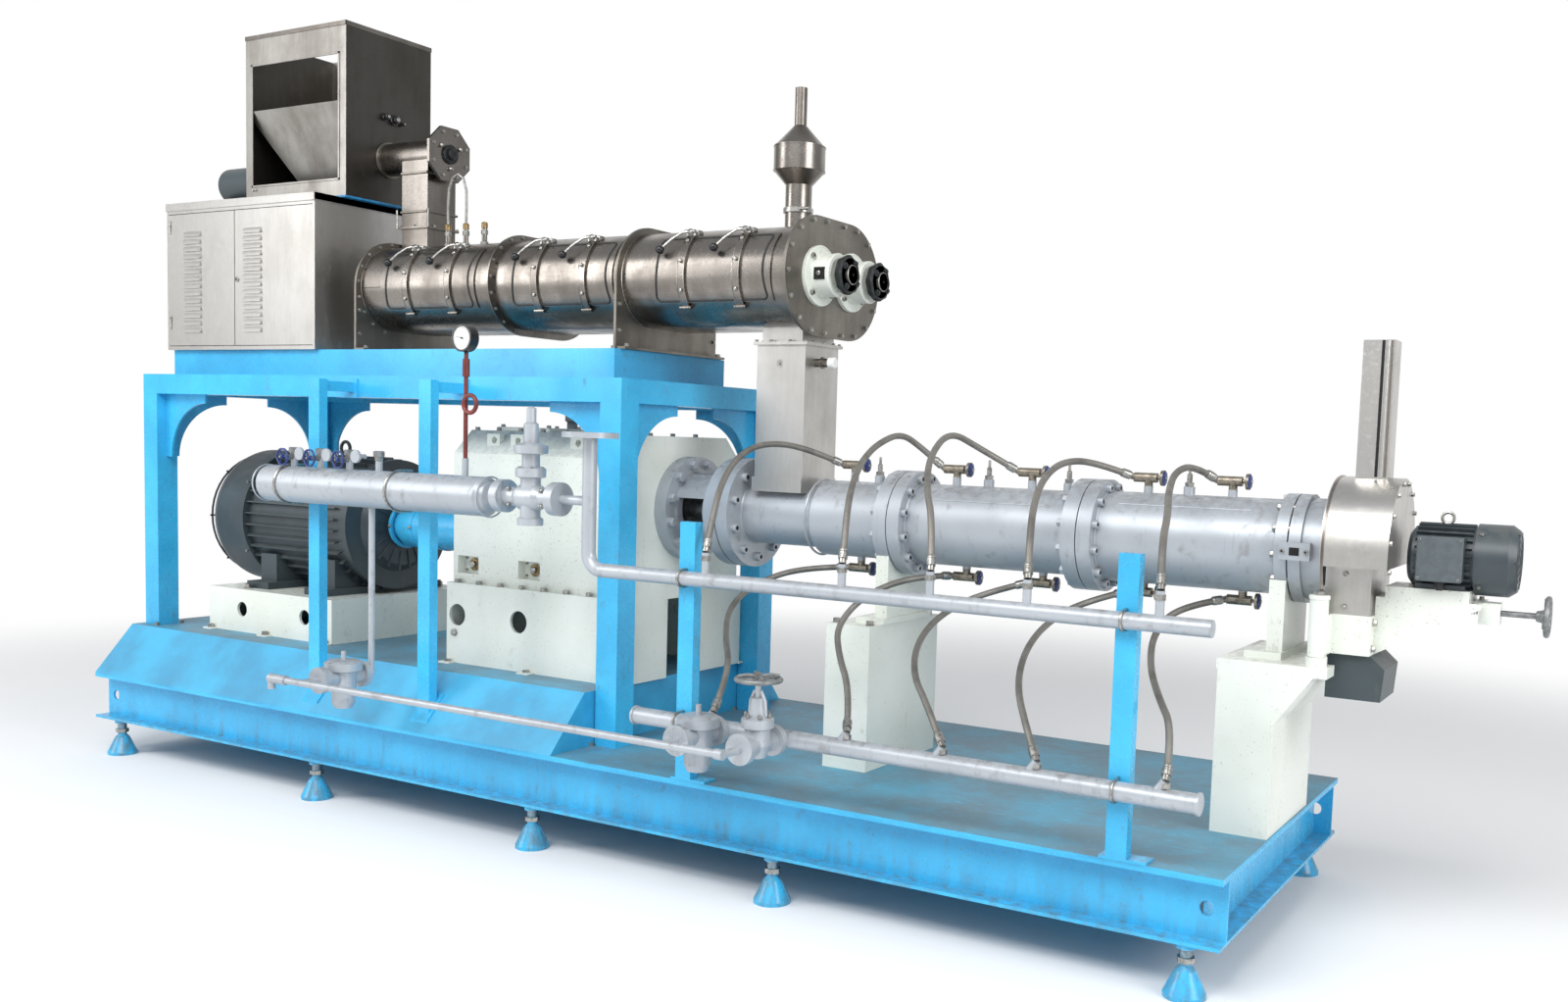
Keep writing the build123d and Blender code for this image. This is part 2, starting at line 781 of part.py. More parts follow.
def saddle(left, radius, base_top):
    """An upright plate with a round seat for a barrel flange."""
    plate = block(left, left + saddle_thickness, -saddle_half_width, saddle_half_width,
                  base_top, axis_height - radius * 0.55)
    plate -= rod_x(left - 1, left + saddle_thickness + 1, radius, 0, axis_height)
    foot = block(left - 60, left + saddle_thickness + 5, -saddle_half_width - 30,
                 saddle_half_width + 30, base_top, base_top + 22)
    return plate + foot


def mid_pillar():
    pillar = block(mid_pillar_left, mid_pillar_left + pillar_length, -pillar_half_width,
                   pillar_half_width, deck_top, mid_pillar_top)
    return pillar + saddle(pair_a_left, flange_pair_radius, mid_pillar_top)


def end_pillar():
    """Box pillar whose head flares towards the cutter and carries its hinge pin."""
    right = end_pillar_left + pillar_length
    under = end_plate_top - end_plate_thickness
    outline = [(end_pillar_left, deck_top), (end_pillar_left, under), (pillar_head_right, under),
               (right, under - pillar_head_height), (right, deck_top)]
    pillar = prism_y(outline, -pillar_half_width, pillar_half_width)
    pillar += block(end_pillar_left - 5, end_plate_right, -pillar_half_width, pillar_half_width,
                    under, end_plate_top)
    pillar += block(end_plate_right - 60, hinge_ear_right, -pillar_half_width,
                    hinge_ear_depth - pillar_half_width, under, end_plate_top)
    pillar += saddle(die_flange_left - 12, die_flange_radius, end_plate_top)
    hinge_top = end_plate_top + hinge_height
    pillar += rod_z(end_plate_top, end_plate_top + hinge_boss_height, hinge_radius + 4,
                    hinge_x, hinge_y)
    pillar += rod_z(end_plate_top, hinge_top + 8, hinge_pin_radius, hinge_x, hinge_y)
    return pillar


def cutter_arm():
    """Hinge sleeve, open cream frame and the bracket that carries the motor slide."""
    low = end_plate_top + hinge_boss_height + 1
    top = end_plate_top + hinge_height
    left = hood_left + 4
    arm = block(left, arm_right, arm_front, arm_rear, cutter_frame_bottom, cutter_box_bottom)
    arm -= block(left + arm_wall, arm_right - arm_wall, arm_front + arm_wall, arm_rear - arm_wall,
                 cutter_frame_bottom - 1, cutter_box_bottom + 1)
    arm += block(left, left + 2 * arm_wall, hinge_y, arm_front + 1, cutter_frame_bottom,
                 cutter_box_bottom)
    arm += rod_z(low, top, hinge_radius, hinge_x, hinge_y)
    under = bracket_top - bracket_plate
    arm += block(arm_right, bracket_right, -bracket_half_width, bracket_half_width,
                 under, bracket_top)
    gusset = [(arm_right, cutter_frame_bottom), (arm_right, under), (bracket_right, under),
              (bracket_right - 60, under - 30)]
    arm += prism_y(gusset, -bracket_half_width, arm_wall - bracket_half_width)
    arm += prism_y(gusset, bracket_half_width - arm_wall, bracket_half_width)
    screw_height = under - screw_drop
    arm += block(bracket_right - 12, bracket_right + nut_length, -nut_half_width, nut_half_width,
                 screw_height - nut_half_width, bracket_top)
    arm -= rod_x(bracket_right - 20, bracket_right + nut_length + 1,
                 screw_radius + slide_clearance, 0, screw_height)
    return arm - rod_z(low - 1, top + 1, hinge_pin_radius + hinge_clearance, hinge_x, hinge_y)


def cutter_hood():
    """Round-topped sheet hood, its straight lower box and the square vent stack."""
    rise = axis_height - hood_joint
    top = rod_x(hood_left, hood_right, hood_radius, 0, axis_height)
    top &= block(hood_left, hood_right, -hood_radius, hood_radius,
                 axis_height, axis_height + hood_radius)
    top += block(hood_left, hood_right, -hood_radius, hood_radius, hood_joint, axis_height)
    inside = hood_radius - hood_wall
    hollow = rod_x(hood_left + hood_wall, hood_right - hood_wall, inside, 0, axis_height)
    hollow &= block(hood_left, hood_right, -inside, inside, axis_height - rise + hood_wall,
                    axis_height + hood_radius)
    half = hood_lower_half_width
    box = block(hood_left, hood_lower_right, -half, half, cutter_box_bottom, hood_joint)
    throat = block(hood_left + hood_wall, hood_lower_right - hood_wall, -half + hood_wall,
                   half - hood_wall, cutter_box_bottom - 1, axis_height)
    stack = block(stack_left, stack_left + stack_size, -stack_size / 2, stack_size / 2,
                  axis_height + hood_radius - 10, stack_top)
    hood = top + box + stack - hollow - throat
    return hood - rod_x(hood_left - 1, hood_left + hood_wall + 1, die_flange_radius + 8,
                        0, axis_height)


def spout(grow):
    """The spout's solid, made smaller all round by a wall when asked."""
    top = cutter_frame_bottom
    return prism_y([(chute_left + grow, top + grow), (arm_right - grow, top + grow),
                    (chute_right - grow, top - 40), (chute_right - 8 - grow, chute_bottom - grow),
                    (chute_left + grow, chute_bottom - grow)],
                   chute_front + grow, chute_rear - grow)


def discharge_chute():
    """Tapered sheet spout under the cutter frame, open at the top and bottom."""
    return spout(0) - spout(sheet)


def cutter_slide():
    base = bracket_top
    left = hood_right - 44 + slide_travel
    plate = block(left, cutter_motor_left + 185, -bracket_half_width, bracket_half_width,
                  base, base + slide_thickness)
    return plate


def cutter_motor():
    low = bracket_top + slide_thickness
    body = turned_x([(cutter_motor_left, 0), (cutter_motor_left, cutter_motor_radius - 20),
                     (cutter_motor_left + 14, cutter_motor_radius),
                     (cutter_motor_left + 190, cutter_motor_radius),
                     (cutter_motor_left + 190, cutter_cowl_radius),
                     (cutter_motor_right - 22, cutter_cowl_radius),
                     (cutter_motor_right, cutter_cowl_radius - 16), (cutter_motor_right, 0)],
                    0, axis_height)
    box = block(cutter_motor_left + 40, cutter_motor_left + 165, -cutter_motor_radius - 55,
                -cutter_motor_radius + 20, axis_height - 62, axis_height + 66)
    feet = block(cutter_motor_left + 30, cutter_motor_left + 170, -86, 86, low,
                 axis_height - cutter_motor_radius + 15)
    return body + box + feet


def cutter_handwheel():
    z = bracket_top - bracket_plate - screw_drop
    rim = Pos(wheel_right - 9, 0, z) * Rot(0, 90, 0) * Torus(wheel_radius - 8, 8)
    hub = turned_x([(wheel_right - 40, 0), (wheel_right - 40, 14), (wheel_right - 22, 20),
                    (wheel_right - 10, 20), (wheel_right - 10, 0)], 0, z)
    spokes = []
    wheel = rim + hub
    for i in range(3):
        spoke = block(wheel_right - 20, wheel_right - 10, -6, 6, 10, wheel_radius - 8)
        wheel += Pos(0, 0, z) * Rot(i * 120, 0, 0) * spoke
    wheel += rod_x(bracket_right - 8, wheel_right - 30, screw_radius, 0, z)
    return wheel


def conditioner_shell():
    """Stainless twin-round trough with three hatch openings, an inlet and an outlet."""
    left = conditioner_left + conditioner_plate
    right = conditioner_right
    shell = obround(shell_radius, left, right) - obround(shell_radius - shell_wall, left - 1, right + 1)
    ring = obround(shell_radius + 26, middle_ring, middle_ring + 8)
    shell += ring - obround(shell_radius - 1, middle_ring - 1, middle_ring + 9)
    for x in steam_stubs:
        shell += rod_z(conditioner_height + shell_radius - 14, conditioner_height + 262, 11, x, -130)
    for x in hatch_places:
        shell -= hatch_sector(x, shell_radius - 60, shell_radius + 60, 0)
        shell += hatch_lugs(x)
    shell -= block(feed_chute_left + 8, feed_chute_right - 8, -feed_chute_half_width + 8,
                   feed_chute_half_width - 8, conditioner_height, conditioner_height + shell_radius + 10)
    shell -= block(outlet_left + 30, outlet_right - 30, -outlet_half_width + 12,
                   outlet_half_width - 12, conditioner_height - shell_radius - 10, conditioner_height - 80)
    shell -= rod_z(conditioner_height, conditioner_height + shell_radius + 10,
                   vent_pipe_radius - 4, vent_x, 0)
    return shell


def hatch_sector(x, inner, outer, grow):
    """A curved block on the front round of the shell, used for openings and hatches."""
    half = hatch_length / 2 + grow
    ring = rod_x(x - half, x + half, outer, 0, 0) - rod_x(x - half - 1, x + half + 1, inner, 0, 0)
    reach = outer + 50
    angle = radians(hatch_half_angle + grow / 4)
    middle = radians(180 - hatch_centre_angle)
    a0 = middle - angle
    a1 = middle + angle
    wedge = prism_x([(0, 0), (reach * cos(a0), reach * sin(a0)),
                     (reach * 1.3 * cos(middle), reach * 1.3 * sin(middle)),
                     (reach * cos(a1), reach * sin(a1))], x - half - 2, x + half + 2)
    return Pos(0, -shaft_spacing / 2, conditioner_height) * (ring & wedge)


def hatch_hinge_point(distance):
    """The (y, z) place on the hatches' hinge ray, at a distance from the round's centre."""
    angle = radians(hatch_hinge_angle)
    return (-shaft_spacing / 2 - distance * cos(angle), conditioner_height - distance * sin(angle))


def hatch(x):
    """A curved cover with two clamp bands, each ending in a knuckle on the hinge line."""
    inner = shell_radius + hatch_gap
    cover = hatch_sector(x, inner, inner + hatch_wall, hatch_lap)
    axis_y, axis_z = hatch_hinge_point(hatch_hinge_distance)
    for dx in (-hatch_band_offset, hatch_band_offset):
        left = x + dx - hatch_band_half_width
        right = x + dx + hatch_band_half_width
        band = hatch_sector(x, inner + hatch_wall, inner + hatch_wall + hatch_band_thickness,
                            hatch_band_lap)
        band = band & block(left, right, -600, 0, conditioner_height - 300, conditioner_height + 300)
        cover += band
        cover += rod_x(left, right, hatch_knuckle_radius, axis_y, axis_z)
        cover -= rod_x(left - 1, right + 1, hatch_pin_radius + hinge_clearance, axis_y, axis_z)
    return cover


def hatch_lugs(x):
    """Pairs of lugs on the shell with the pins that carry one hatch's two knuckles."""
    axis_y, axis_z = hatch_hinge_point(hatch_hinge_distance)
    root_y, root_z = hatch_hinge_point(shell_radius - shell_wall / 2)
    angle = radians(hatch_hinge_angle)
    side_y = hatch_knuckle_radius * sin(angle)
    side_z = hatch_knuckle_radius * cos(angle)
    outline = [(axis_y - side_y, axis_z + side_z), (axis_y + side_y, axis_z - side_z),
               (root_y + side_y, root_z - side_z), (root_y - side_y, root_z + side_z)]
    reach = hatch_band_half_width + hatch_lug_gap
    lugs = None
    for dx in (-hatch_band_offset, hatch_band_offset):
        for left in (x + dx - reach - hatch_lug_length, x + dx + reach):
            lug = prism_x(outline, left, left + hatch_lug_length)
            lug += rod_x(left, left + hatch_lug_length, hatch_knuckle_radius, axis_y, axis_z)
            lugs = lug if lugs is None else lugs + lug
        lugs += rod_x(x + dx - reach - hatch_lug_length, x + dx + reach + hatch_lug_length,
                      hatch_pin_radius, axis_y, axis_z)
    return lugs


def conditioner_plates():
    """Left end plate and middle support with straight legs, and the obround right end plate."""
    plates = []
    for x in (conditioner_left, mid_support_left):
        plate = block(x, x + conditioner_plate, -support_half_width, support_half_width,
                      frame_top, conditioner_height)
        round_top = obround(support_half_width - shaft_spacing / 2, x, x + conditioner_plate)
        plate += round_top
        plate += block(x, x + 60, -support_half_width, support_half_width, frame_top, frame_top + 10)
        plates.append(plate)
    plates[1] -= obround(shell_radius, mid_support_left - 1, mid_support_left + 70)
    right = obround(end_plate_radius, conditioner_right, conditioner_right + conditioner_plate)
    for side in (-1, 1):
        y = side * shaft_spacing / 2
        bore = paddle_shaft_radius + shaft_clearance
        right -= rod_x(conditioner_right - 1, conditioner_right + conditioner_plate + 1, bore,
                       y, conditioner_height)
    plates.append(right)
    return Compound(plates)


def bearing_housings():
    housings = []
    left = conditioner_right + conditioner_plate
    for side in (-1, 1):
        y = side * shaft_spacing / 2
        housing = turned_x([(left, 0), (left, bearing_radius + 20), (left + 14, bearing_radius + 20),
                            (left + 14, bearing_radius - 10), (left + bearing_length, bearing_radius - 10),
                            (left + bearing_length, 0)], y, conditioner_height)
        housing -= rod_x(left - 1, left + bearing_length + 1, paddle_shaft_radius + shaft_clearance,
                         y, conditioner_height)
        housings.append(housing)
    return Compound(housings)


def paddle_shaft(side):
    """A shaft with flat paddles set round it in a spiral."""
    y = side * shaft_spacing / 2
    left = conditioner_left + conditioner_plate + 2
    right = conditioner_right + conditioner_plate + bearing_length + 60
    shaft = rod_x(left, right, paddle_shaft_radius, y, conditioner_height)
    count = 20
    pitch = (conditioner_right - left - 120) / count
    for i in range(count):
        x = left + 60 + pitch * (i + 0.5)
        paddle = block(x - paddle_thickness / 2, x + paddle_thickness / 2, -paddle_half_width,
                       paddle_half_width, paddle_shaft_radius - 6, paddle_reach)
        turn = (i * 90 + (45 if side > 0 else 0)) * side
        shaft += Pos(0, y, conditioner_height) * Rot(turn, 0, 0) * paddle
    shaft += rod_x(right - 40, right - 12, 60, y, conditioner_height)
    return shaft


def conditioner_vent():
    """Steam vent above the outlet: pipe, drum with two cones, and a slim tube."""
    low = conditioner_height + shell_radius + hatch_gap
    pipe_top = low + vent_pipe_length
    drum_low = pipe_top + vent_cone_length
    drum_top = drum_low + vent_drum_length
    tube_low = drum_top + vent_top_cone_length
    tube_top = tube_low + vent_tube_length
    return turned_z([(0, low), (vent_pipe_radius, low), (vent_pipe_radius, pipe_top),
                     (vent_drum_radius, drum_low), (vent_drum_radius, drum_top),
                     (vent_tube_radius, tube_low), (vent_tube_radius, tube_top), (0, tube_top)],
                    vent_x, 0)


def outlet_chute():
    """Square chute from the conditioner down to the barrel inlet."""
    top = conditioner_height - shell_radius + 4
    neck_low = top - outlet_neck_height
    body_low = axis_height + outlet_body_rise
    half = outlet_half_width
    flange_half = half + outlet_flange_lap
    body_top = neck_low - outlet_flange_thickness
    inset = 18
    chute = block(outlet_left + inset, outlet_right - inset, -half + 6, half - 6, neck_low, top + 60)
    chute -= obround(shell_radius + outlet_seat_gap, outlet_left - 50, outlet_right + 50)
    chute += block(outlet_left - outlet_flange_lap, outlet_right + outlet_flange_lap,
                   -flange_half, flange_half, body_top, neck_low)
    chute += block(outlet_left, outlet_right, -half, half, body_low, body_top)
    collar = block(outlet_left - 8, outlet_right, -half - 6, half + 6, body_low - 55, body_low)
    chute += collar
    chute -= rod_x(outlet_left - 50, outlet_right + 50, barrel_small_radius + outlet_seat_gap,
                   0, axis_height)
    return chute


def feeder():
    """Screw feeder tube from the hopper, with its end plate and the drop chute."""
    tube = rod_x(hopper_right, feeder_right, feeder_tube_radius, 0, feeder_height)
    octagon = Plane.YZ.offset(feeder_right) * RegularPolygon(126, 8, rotation=22.5)
    end_plate = Pos(0, 0, feeder_height) * extrude(octagon, amount=14)
    low = conditioner_height + shell_radius - 3
    half = feed_chute_half_width
    chute = block(feed_chute_left, feed_chute_right, -half, half, low, feeder_height - 30)
    flange_low = conditioner_height + shell_radius + feed_chute_flange_rise
    lap = feed_chute_flange_lap
    chute += block(feed_chute_left - lap, feed_chute_right + lap, -half - lap, half + lap,
                   flange_low, flange_low + feed_chute_flange_thickness)
    chute -= obround(shell_radius + outlet_seat_gap, feed_chute_left - 50, feed_chute_right + 50)
    return tube + end_plate + chute


def feeder_motor():
    z = cabinet_top + cabinet_lid
    body = rod_x(60, 300, 85, -60, z + 130)
    body += block(100, 280, -140, 20, z, z + 60)
    body += rod_x(300, hopper_left, 55, -60, z + 130)
    return body


def hopper():
    """Upright hopper, open in front where its inner funnel shows."""
    low = cabinet_top + cabinet_lid
    left, right, half = hopper_left, hopper_right, hopper_half_width
    shell = block(left, right, -half, half, low, hopper_top)
    shell -= block(left + sheet, right - sheet, -half + sheet, half - sheet,
                   low + 20, hopper_top + 1)
    shell -= block(left + 45, right - 45, -half - 1, sheet - half + 1,
                   hopper_window_low, hopper_window_high)
    middle = (left + right) / 2
    throat = low + 20
    outer = funnel_solid(middle, throat, 0)
    inner = funnel_solid(middle, throat, sheet)
    return shell + (outer - inner)


def funnel_solid(middle, throat, wall):
    """A four-sided funnel body inside the hopper, smaller by a wall all round."""
    wide = Pos(middle, 0, funnel_top + wall) * Rectangle(
        hopper_right - hopper_left - 2 * wall, 2 * (hopper_half_width - wall))
    slim = Pos(middle, 0, throat - wall) * Rectangle(
        funnel_throat - 2 * wall, funnel_throat - 2 * wall)
    return loft([slim, wide])


def cabinet():
    """Closed sheet cabinet with a lid, and two columns of louvres in its front."""
    front = -cabinet_half_width
    body = block(cabinet_left, cabinet_right, front, cabinet_half_width, frame_top, cabinet_top)
    for x in louvre_columns:
        for i in range(louvre_count):
            z = louvre_low + i * louvre_pitch
            hood = [(front + 1, z), (front - 8, z), (front + 1, z + louvre_height)]
            body += prism_x(hood, x, x + louvre_length)
    lid = block(cabinet_left - 4, cabinet_right + 4, front - 4, cabinet_half_width + 4,
                cabinet_top, cabinet_top + cabinet_lid)
    return body + lid


def bar(start, end, radius):
    """A round bar between two points."""
    line = Line(start, end)
    return sweep(Plane(origin=line @ 0, z_dir=line % 0) * Circle(radius), path=line)


def needle_valve(x, height, rise):
    """A small valve on a stub of the barrel jacket, with its wheel to the right."""
    low = min(height, height - rise * needle_stub)
    high = max(height, height - rise * needle_stub)
    valve = rod_z(low, high, needle_body_radius - 2, x, 0)
    valve += rod_x(x - needle_half_length, x + 30, needle_body_radius, 0, height)
    valve += rod_x(x + 30, x + 44, 6, 0, height)
    valve += rod_x(x + 44, x + 54, needle_wheel_radius, 0, height)
    return valve


def barrel_valves():
    valves = [needle_valve(x, needle_top_height, 1) for x in top_stub_places]
    valves += [needle_valve(x, needle_low_height, -1) for x in bottom_stub_places]
    return Compound(valves)


def steam_vessel():
    """Steam drum with domed ends and a row of four stubs with small valves."""
    r = vessel_radius
    drum = turned_x([(vessel_left, 0), (vessel_left, 24), (vessel_left + 16, r - 20),
                     (vessel_left + 42, r), (vessel_right - 42, r), (vessel_right - 16, r - 20),
                     (vessel_right, 24), (vessel_right, 0)], steam_y, vessel_height)
    top = vessel_height + r
    for x in vessel_stub_places:
        drum += rod_z(top - 10, top + vessel_stub_height, 13, x, steam_y)
    for x in vessel_stub_places[:3]:
        z = top + vessel_stub_height - 16
        drum += rod_x(x, x + 88, 9, steam_y, z)
        drum += rod_y(steam_y - 34, steam_y, 7, x + 82, z)
        drum += rod_y(steam_y - 44, steam_y - 34, 25, x + 82, z)
    drum += rod_z(top - 10, top + vessel_stub_height - 4, 12, gauge_x, steam_y)
    return drum


def pressure_gauge():
    """Dial gauge on its coiled siphon above the steam drum."""
    low = vessel_height + vessel_radius + vessel_stub_height - 4
    middle = (low + gauge_height) / 2 - 20
    stem = rod_z(low, gauge_height - gauge_radius + 8, siphon_radius, gauge_x, steam_y)
    loop = Pos(gauge_x + 30, steam_y - 9, middle) * Rot(90, 0, 0) * Torus(32, siphon_radius)
    case = rod_y(steam_y - 22, steam_y + 14, gauge_radius, gauge_x, gauge_height)
    cock = rod_z(gauge_height - 140, gauge_height - 75, 13, gauge_x, steam_y)
    return stem + loop + case + cock


def reducing_valve():
    """Pressure reducing valve with flanged ends and its spring housing on top."""
    z = valve_line_height
    left = reducer_x - reducer_face
    right = reducer_x + reducer_face
    r = reducer_flange_radius
    body = turned_x([(vessel_right, 0), (vessel_right, branch_radius), (left, branch_radius),
                     (left, r), (left + 38, r), (left + 38, 34), (reducer_x - 60, 34),
                     (reducer_x - 40, 46), (reducer_x + 40, 46), (reducer_x + 60, 34),
                     (right - 38, 34), (right - 38, r), (right, r), (right, 0)], steam_y, z)
    column = turned_z([(0, z - 100), (46, z - 100), (46, z - 76), (36, z - 70), (36, z + 68),
                       (54, z + 74), (54, z + 104), (32, z + 112), (32, z + 152), (60, z + 158),
                       (60, z + 186), (26, z + 196), (26, z + 262), (17, z + 270), (17, z + 318),
                       (0, z + 326)], reducer_x, steam_y)
    return body + column


def upper_header():
    """Steam riser with its open top flange, the branch, the bend and the header."""
    z = upper_header_height
    r = upper_header_radius
    bend_start = z + elbow_radius
    pipe = rod_z(bend_start, riser_top, r, riser_x, steam_y)
    pipe += rod_z(riser_top, riser_top + 20, riser_flange_radius, riser_x, steam_y)
    pipe += rod_x(reducer_x + reducer_face, riser_x, branch_radius, steam_y, valve_line_height)
    ring = Pos(riser_x + elbow_radius, steam_y, bend_start) * Rot(90, 0, 0) * Torus(elbow_radius, r)
    quarter = block(riser_x - r - 1, riser_x + elbow_radius, steam_y - r - 1, steam_y + r + 1,
                    z - r - 1, bend_start)
    pipe += ring & quarter
    pipe += rod_x(riser_x + elbow_radius, upper_header_right, r, steam_y, z)
    for x in header_stub_places:
        pipe += rod_z(z, header_stub_top, header_stub_radius, x, steam_y)
    return pipe


def lower_header():
    """Condensate header with a slanting nipple for each hose, and its globe valve."""
    y = header_post_front - lower_header_radius
    z = lower_header_height
    pipe = rod_x(lower_header_left, lower_header_right, lower_header_radius, y, z)
    for x in return_places:
        pipe += bar((x, y, z), (x + return_run, y, z + return_rise), header_stub_radius)
    return pipe + globe_valve()


def flanged_pair(x, rear, face, flange_radius, neck_radius, height, back):
    """A run along Y from its rear flange to its front flange."""
    run = rod_y(rear - 26, rear, flange_radius, x, height)
    run += rod_y(rear - face, rear - face + 26, flange_radius, x, height)
    run += rod_y(rear - face, rear, neck_radius, x, height)
    if back > rear:
        run += rod_y(rear, back, branch_radius, x, height)
    return run


def globe_valve():
    z = lower_header_height
    y = trap_rear - globe_face / 2
    valve = flanged_pair(globe_x, trap_rear, globe_face, trap_flange_radius, 34, z, steam_y)
    valve += turned_z([(0, z - 48), (30, z - 40), (44, z), (40, z + 50), (52, z + 56),
                       (52, z + 84), (30, z + 92), (22, z + 150), (10, z + 154), (10, z + 196),
                       (0, z + 196)], globe_x, y)
    valve += rod_y(drain_y, trap_rear - globe_face, drain_radius, globe_x, z)
    valve += rod_x(globe_x - 24, globe_x + 6, drain_radius + 4, drain_y, z)
    return valve


def globe_handwheel():
    z = lower_header_height + 196
    y = trap_rear - globe_face / 2
    wheel = Pos(globe_x, y, z + 12) * Torus(70, 8)
    wheel += rod_z(z, z + 24, 16, globe_x, y)
    for i in range(5):
        spoke = block(8, 68, -6, 6, -4, 4)
        wheel += Pos(globe_x, y, z + 12) * Rot(0, 0, i * 72) * spoke
    return wheel


def steam_trap(x, back):
    """Bucket trap with its round cover, set between two flanges along Y."""
    z = lower_header_height
    y = trap_rear - trap_face / 2 + 10
    r = trap_body_radius
    trap = flanged_pair(x, trap_rear, trap_face, trap_flange_radius, 32, z, back)
    trap += turned_z([(0, z - 118), (r - 14, z - 118), (r - 4, z - 96), (r, z + 22),
                      (r + 22, z + 28), (r + 22, z + 58), (r + 6, z + 66), (0, z + 70)], x, y)
    trap += rod_z(z + 60, z + 100, 9, x, y)
    return trap


def condensate_line():
    """Two steam traps, the drain pipe in front of them and the tap at its end."""
    z = lower_header_height
    line = rod_x(drain_left + 90, globe_x - 24, drain_radius, drain_y, z)
    for x, back in zip(trap_places, (steam_y, trap_rear)):
        line += steam_trap(x, back)
        line += rod_y(drain_y, trap_rear - trap_face + 5, drain_radius, x, z)
    line += rod_x(drain_left, drain_left + 92, 18, drain_y, z)
    line += rod_z(z - 40, z, 14, drain_left + 8, drain_y)
    line += rod_z(z, vessel_height - vessel_radius, 12, trap_places[0], steam_y)
    return line


def hose(points):
    """A hose swept along straight runs that are joined by tangent bends."""
    bends = []
    for before, at, after in zip(points, points[1:], points[2:]):
        first = Vector(*at) - Vector(*before)
        second = Vector(*after) - Vector(*at)
        turn = radians(first.get_angle(second))
        bends.append(0.45 * min(first.length, second.length) / tan(turn / 2))
    path = FilletPolyline(*points, radius=bends)
    return sweep(Plane(origin=path @ 0, z_dir=path % 0) * Circle(hose_radius), path=path)


def build_all():
    makers = [
        skid_long_channels, skid_cross_channels, deck_plate, raised_deck, levelling_feet,
        table_posts, table_beams, table_gussets, frame_rails, frame_cross_beams, pipe_posts,
        machine_bases, main_motor, coupling_guard, gearbox, output_neck, drive_shaft,
        barrel_one, barrel_two, barrel_three, barrel_valves, die_head, barrel_pillars,
        cutter_arm, cutter_hood, discharge_chute, cutter_slide, cutter_motor, cutter_handwheel,
        conditioner_shell, conditioner_plates, bearing_housings, conditioner_vent,
        outlet_chute, feeder, feeder_motor, hopper, cabinet,
        steam_vessel, pressure_gauge, reducing_valve, upper_header, lower_header,
        globe_handwheel, condensate_line]
    parts = {maker.__name__: maker() for maker in makers}
    parts["front_paddle_shaft"] = paddle_shaft(-1)
    parts["rear_paddle_shaft"] = paddle_shaft(1)
    for number, x in enumerate(hatch_places, 1):
        parts[f"hatch_{number}"] = hatch(x)
    for name, points in supply_routes.items():
        parts[name] = hose(points) - parts["upper_header"] - parts["barrel_valves"]
    for name, points in return_routes.items():
        parts[name] = hose(points) - parts["lower_header"] - parts["barrel_valves"]
    return parts


os.makedirs("parts", exist_ok=True)
for name, shape in build_all().items():
    export_step(Pos(-machine_centre_x, -machine_centre_y, 0) * shape, f"parts/{name}.step")
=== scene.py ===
"""Looks of the fish feed extruder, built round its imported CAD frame."""
import json
from math import cos, pi, radians, sin, sqrt

import bmesh
import bpy
from mathutils import Matrix, Vector


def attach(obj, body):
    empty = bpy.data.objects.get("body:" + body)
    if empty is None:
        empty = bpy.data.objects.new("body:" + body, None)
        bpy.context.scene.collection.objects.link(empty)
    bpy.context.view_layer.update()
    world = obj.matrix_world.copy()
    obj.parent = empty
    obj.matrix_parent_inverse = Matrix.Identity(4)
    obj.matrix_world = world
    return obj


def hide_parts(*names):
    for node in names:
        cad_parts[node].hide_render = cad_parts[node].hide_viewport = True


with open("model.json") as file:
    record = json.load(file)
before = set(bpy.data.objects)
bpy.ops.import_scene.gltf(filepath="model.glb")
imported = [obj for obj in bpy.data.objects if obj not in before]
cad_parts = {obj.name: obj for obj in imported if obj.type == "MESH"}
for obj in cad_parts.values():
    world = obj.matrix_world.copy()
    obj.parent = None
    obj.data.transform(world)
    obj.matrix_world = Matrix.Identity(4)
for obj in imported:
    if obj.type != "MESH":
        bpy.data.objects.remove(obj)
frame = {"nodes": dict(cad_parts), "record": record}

bl_info = {
    "name": "Fish feed extruder",
    "version": (1, 0, 0),
    "blender": (4, 5, 0),
    "location": "3D View > Sidebar > Extruder",
    "description": "Dresses the extruder's CAD frame with finishes and fine parts",
    "category": "Object",
}

# The part's own drawing is in millimetres from the skid's left end, the barrel axis and the floor.
DRAWING_LEFT = 2995.0
DRAWING_AXIS = 166.0
AXIS_HEIGHT = 1250.0
UP = Vector((0, 0, 1))
RIGHT = Vector((1, 0, 0))
BACK = Vector((0, 1, 0))
FRONT = -BACK
SIDES = (-1, 1)
# Edges that turn by more than this many degrees stay sharp.
SHARP_FROM = 32


def metres(point):
    """A drawing point in the shared frame's metres."""
    x, y, z = point
    return ((x - DRAWING_LEFT) / 1000, (y + DRAWING_AXIS) / 1000, z / 1000)


# ---------------------------------------------------------------- shader maths

def operator_pair(operation):
    """A sum of two values, and its reflected form."""
    def straight(self, other):
        return self.sum_of(operation, self, other)

    def reflected(self, other):
        return self.sum_of(operation, other, self)
    return straight, reflected


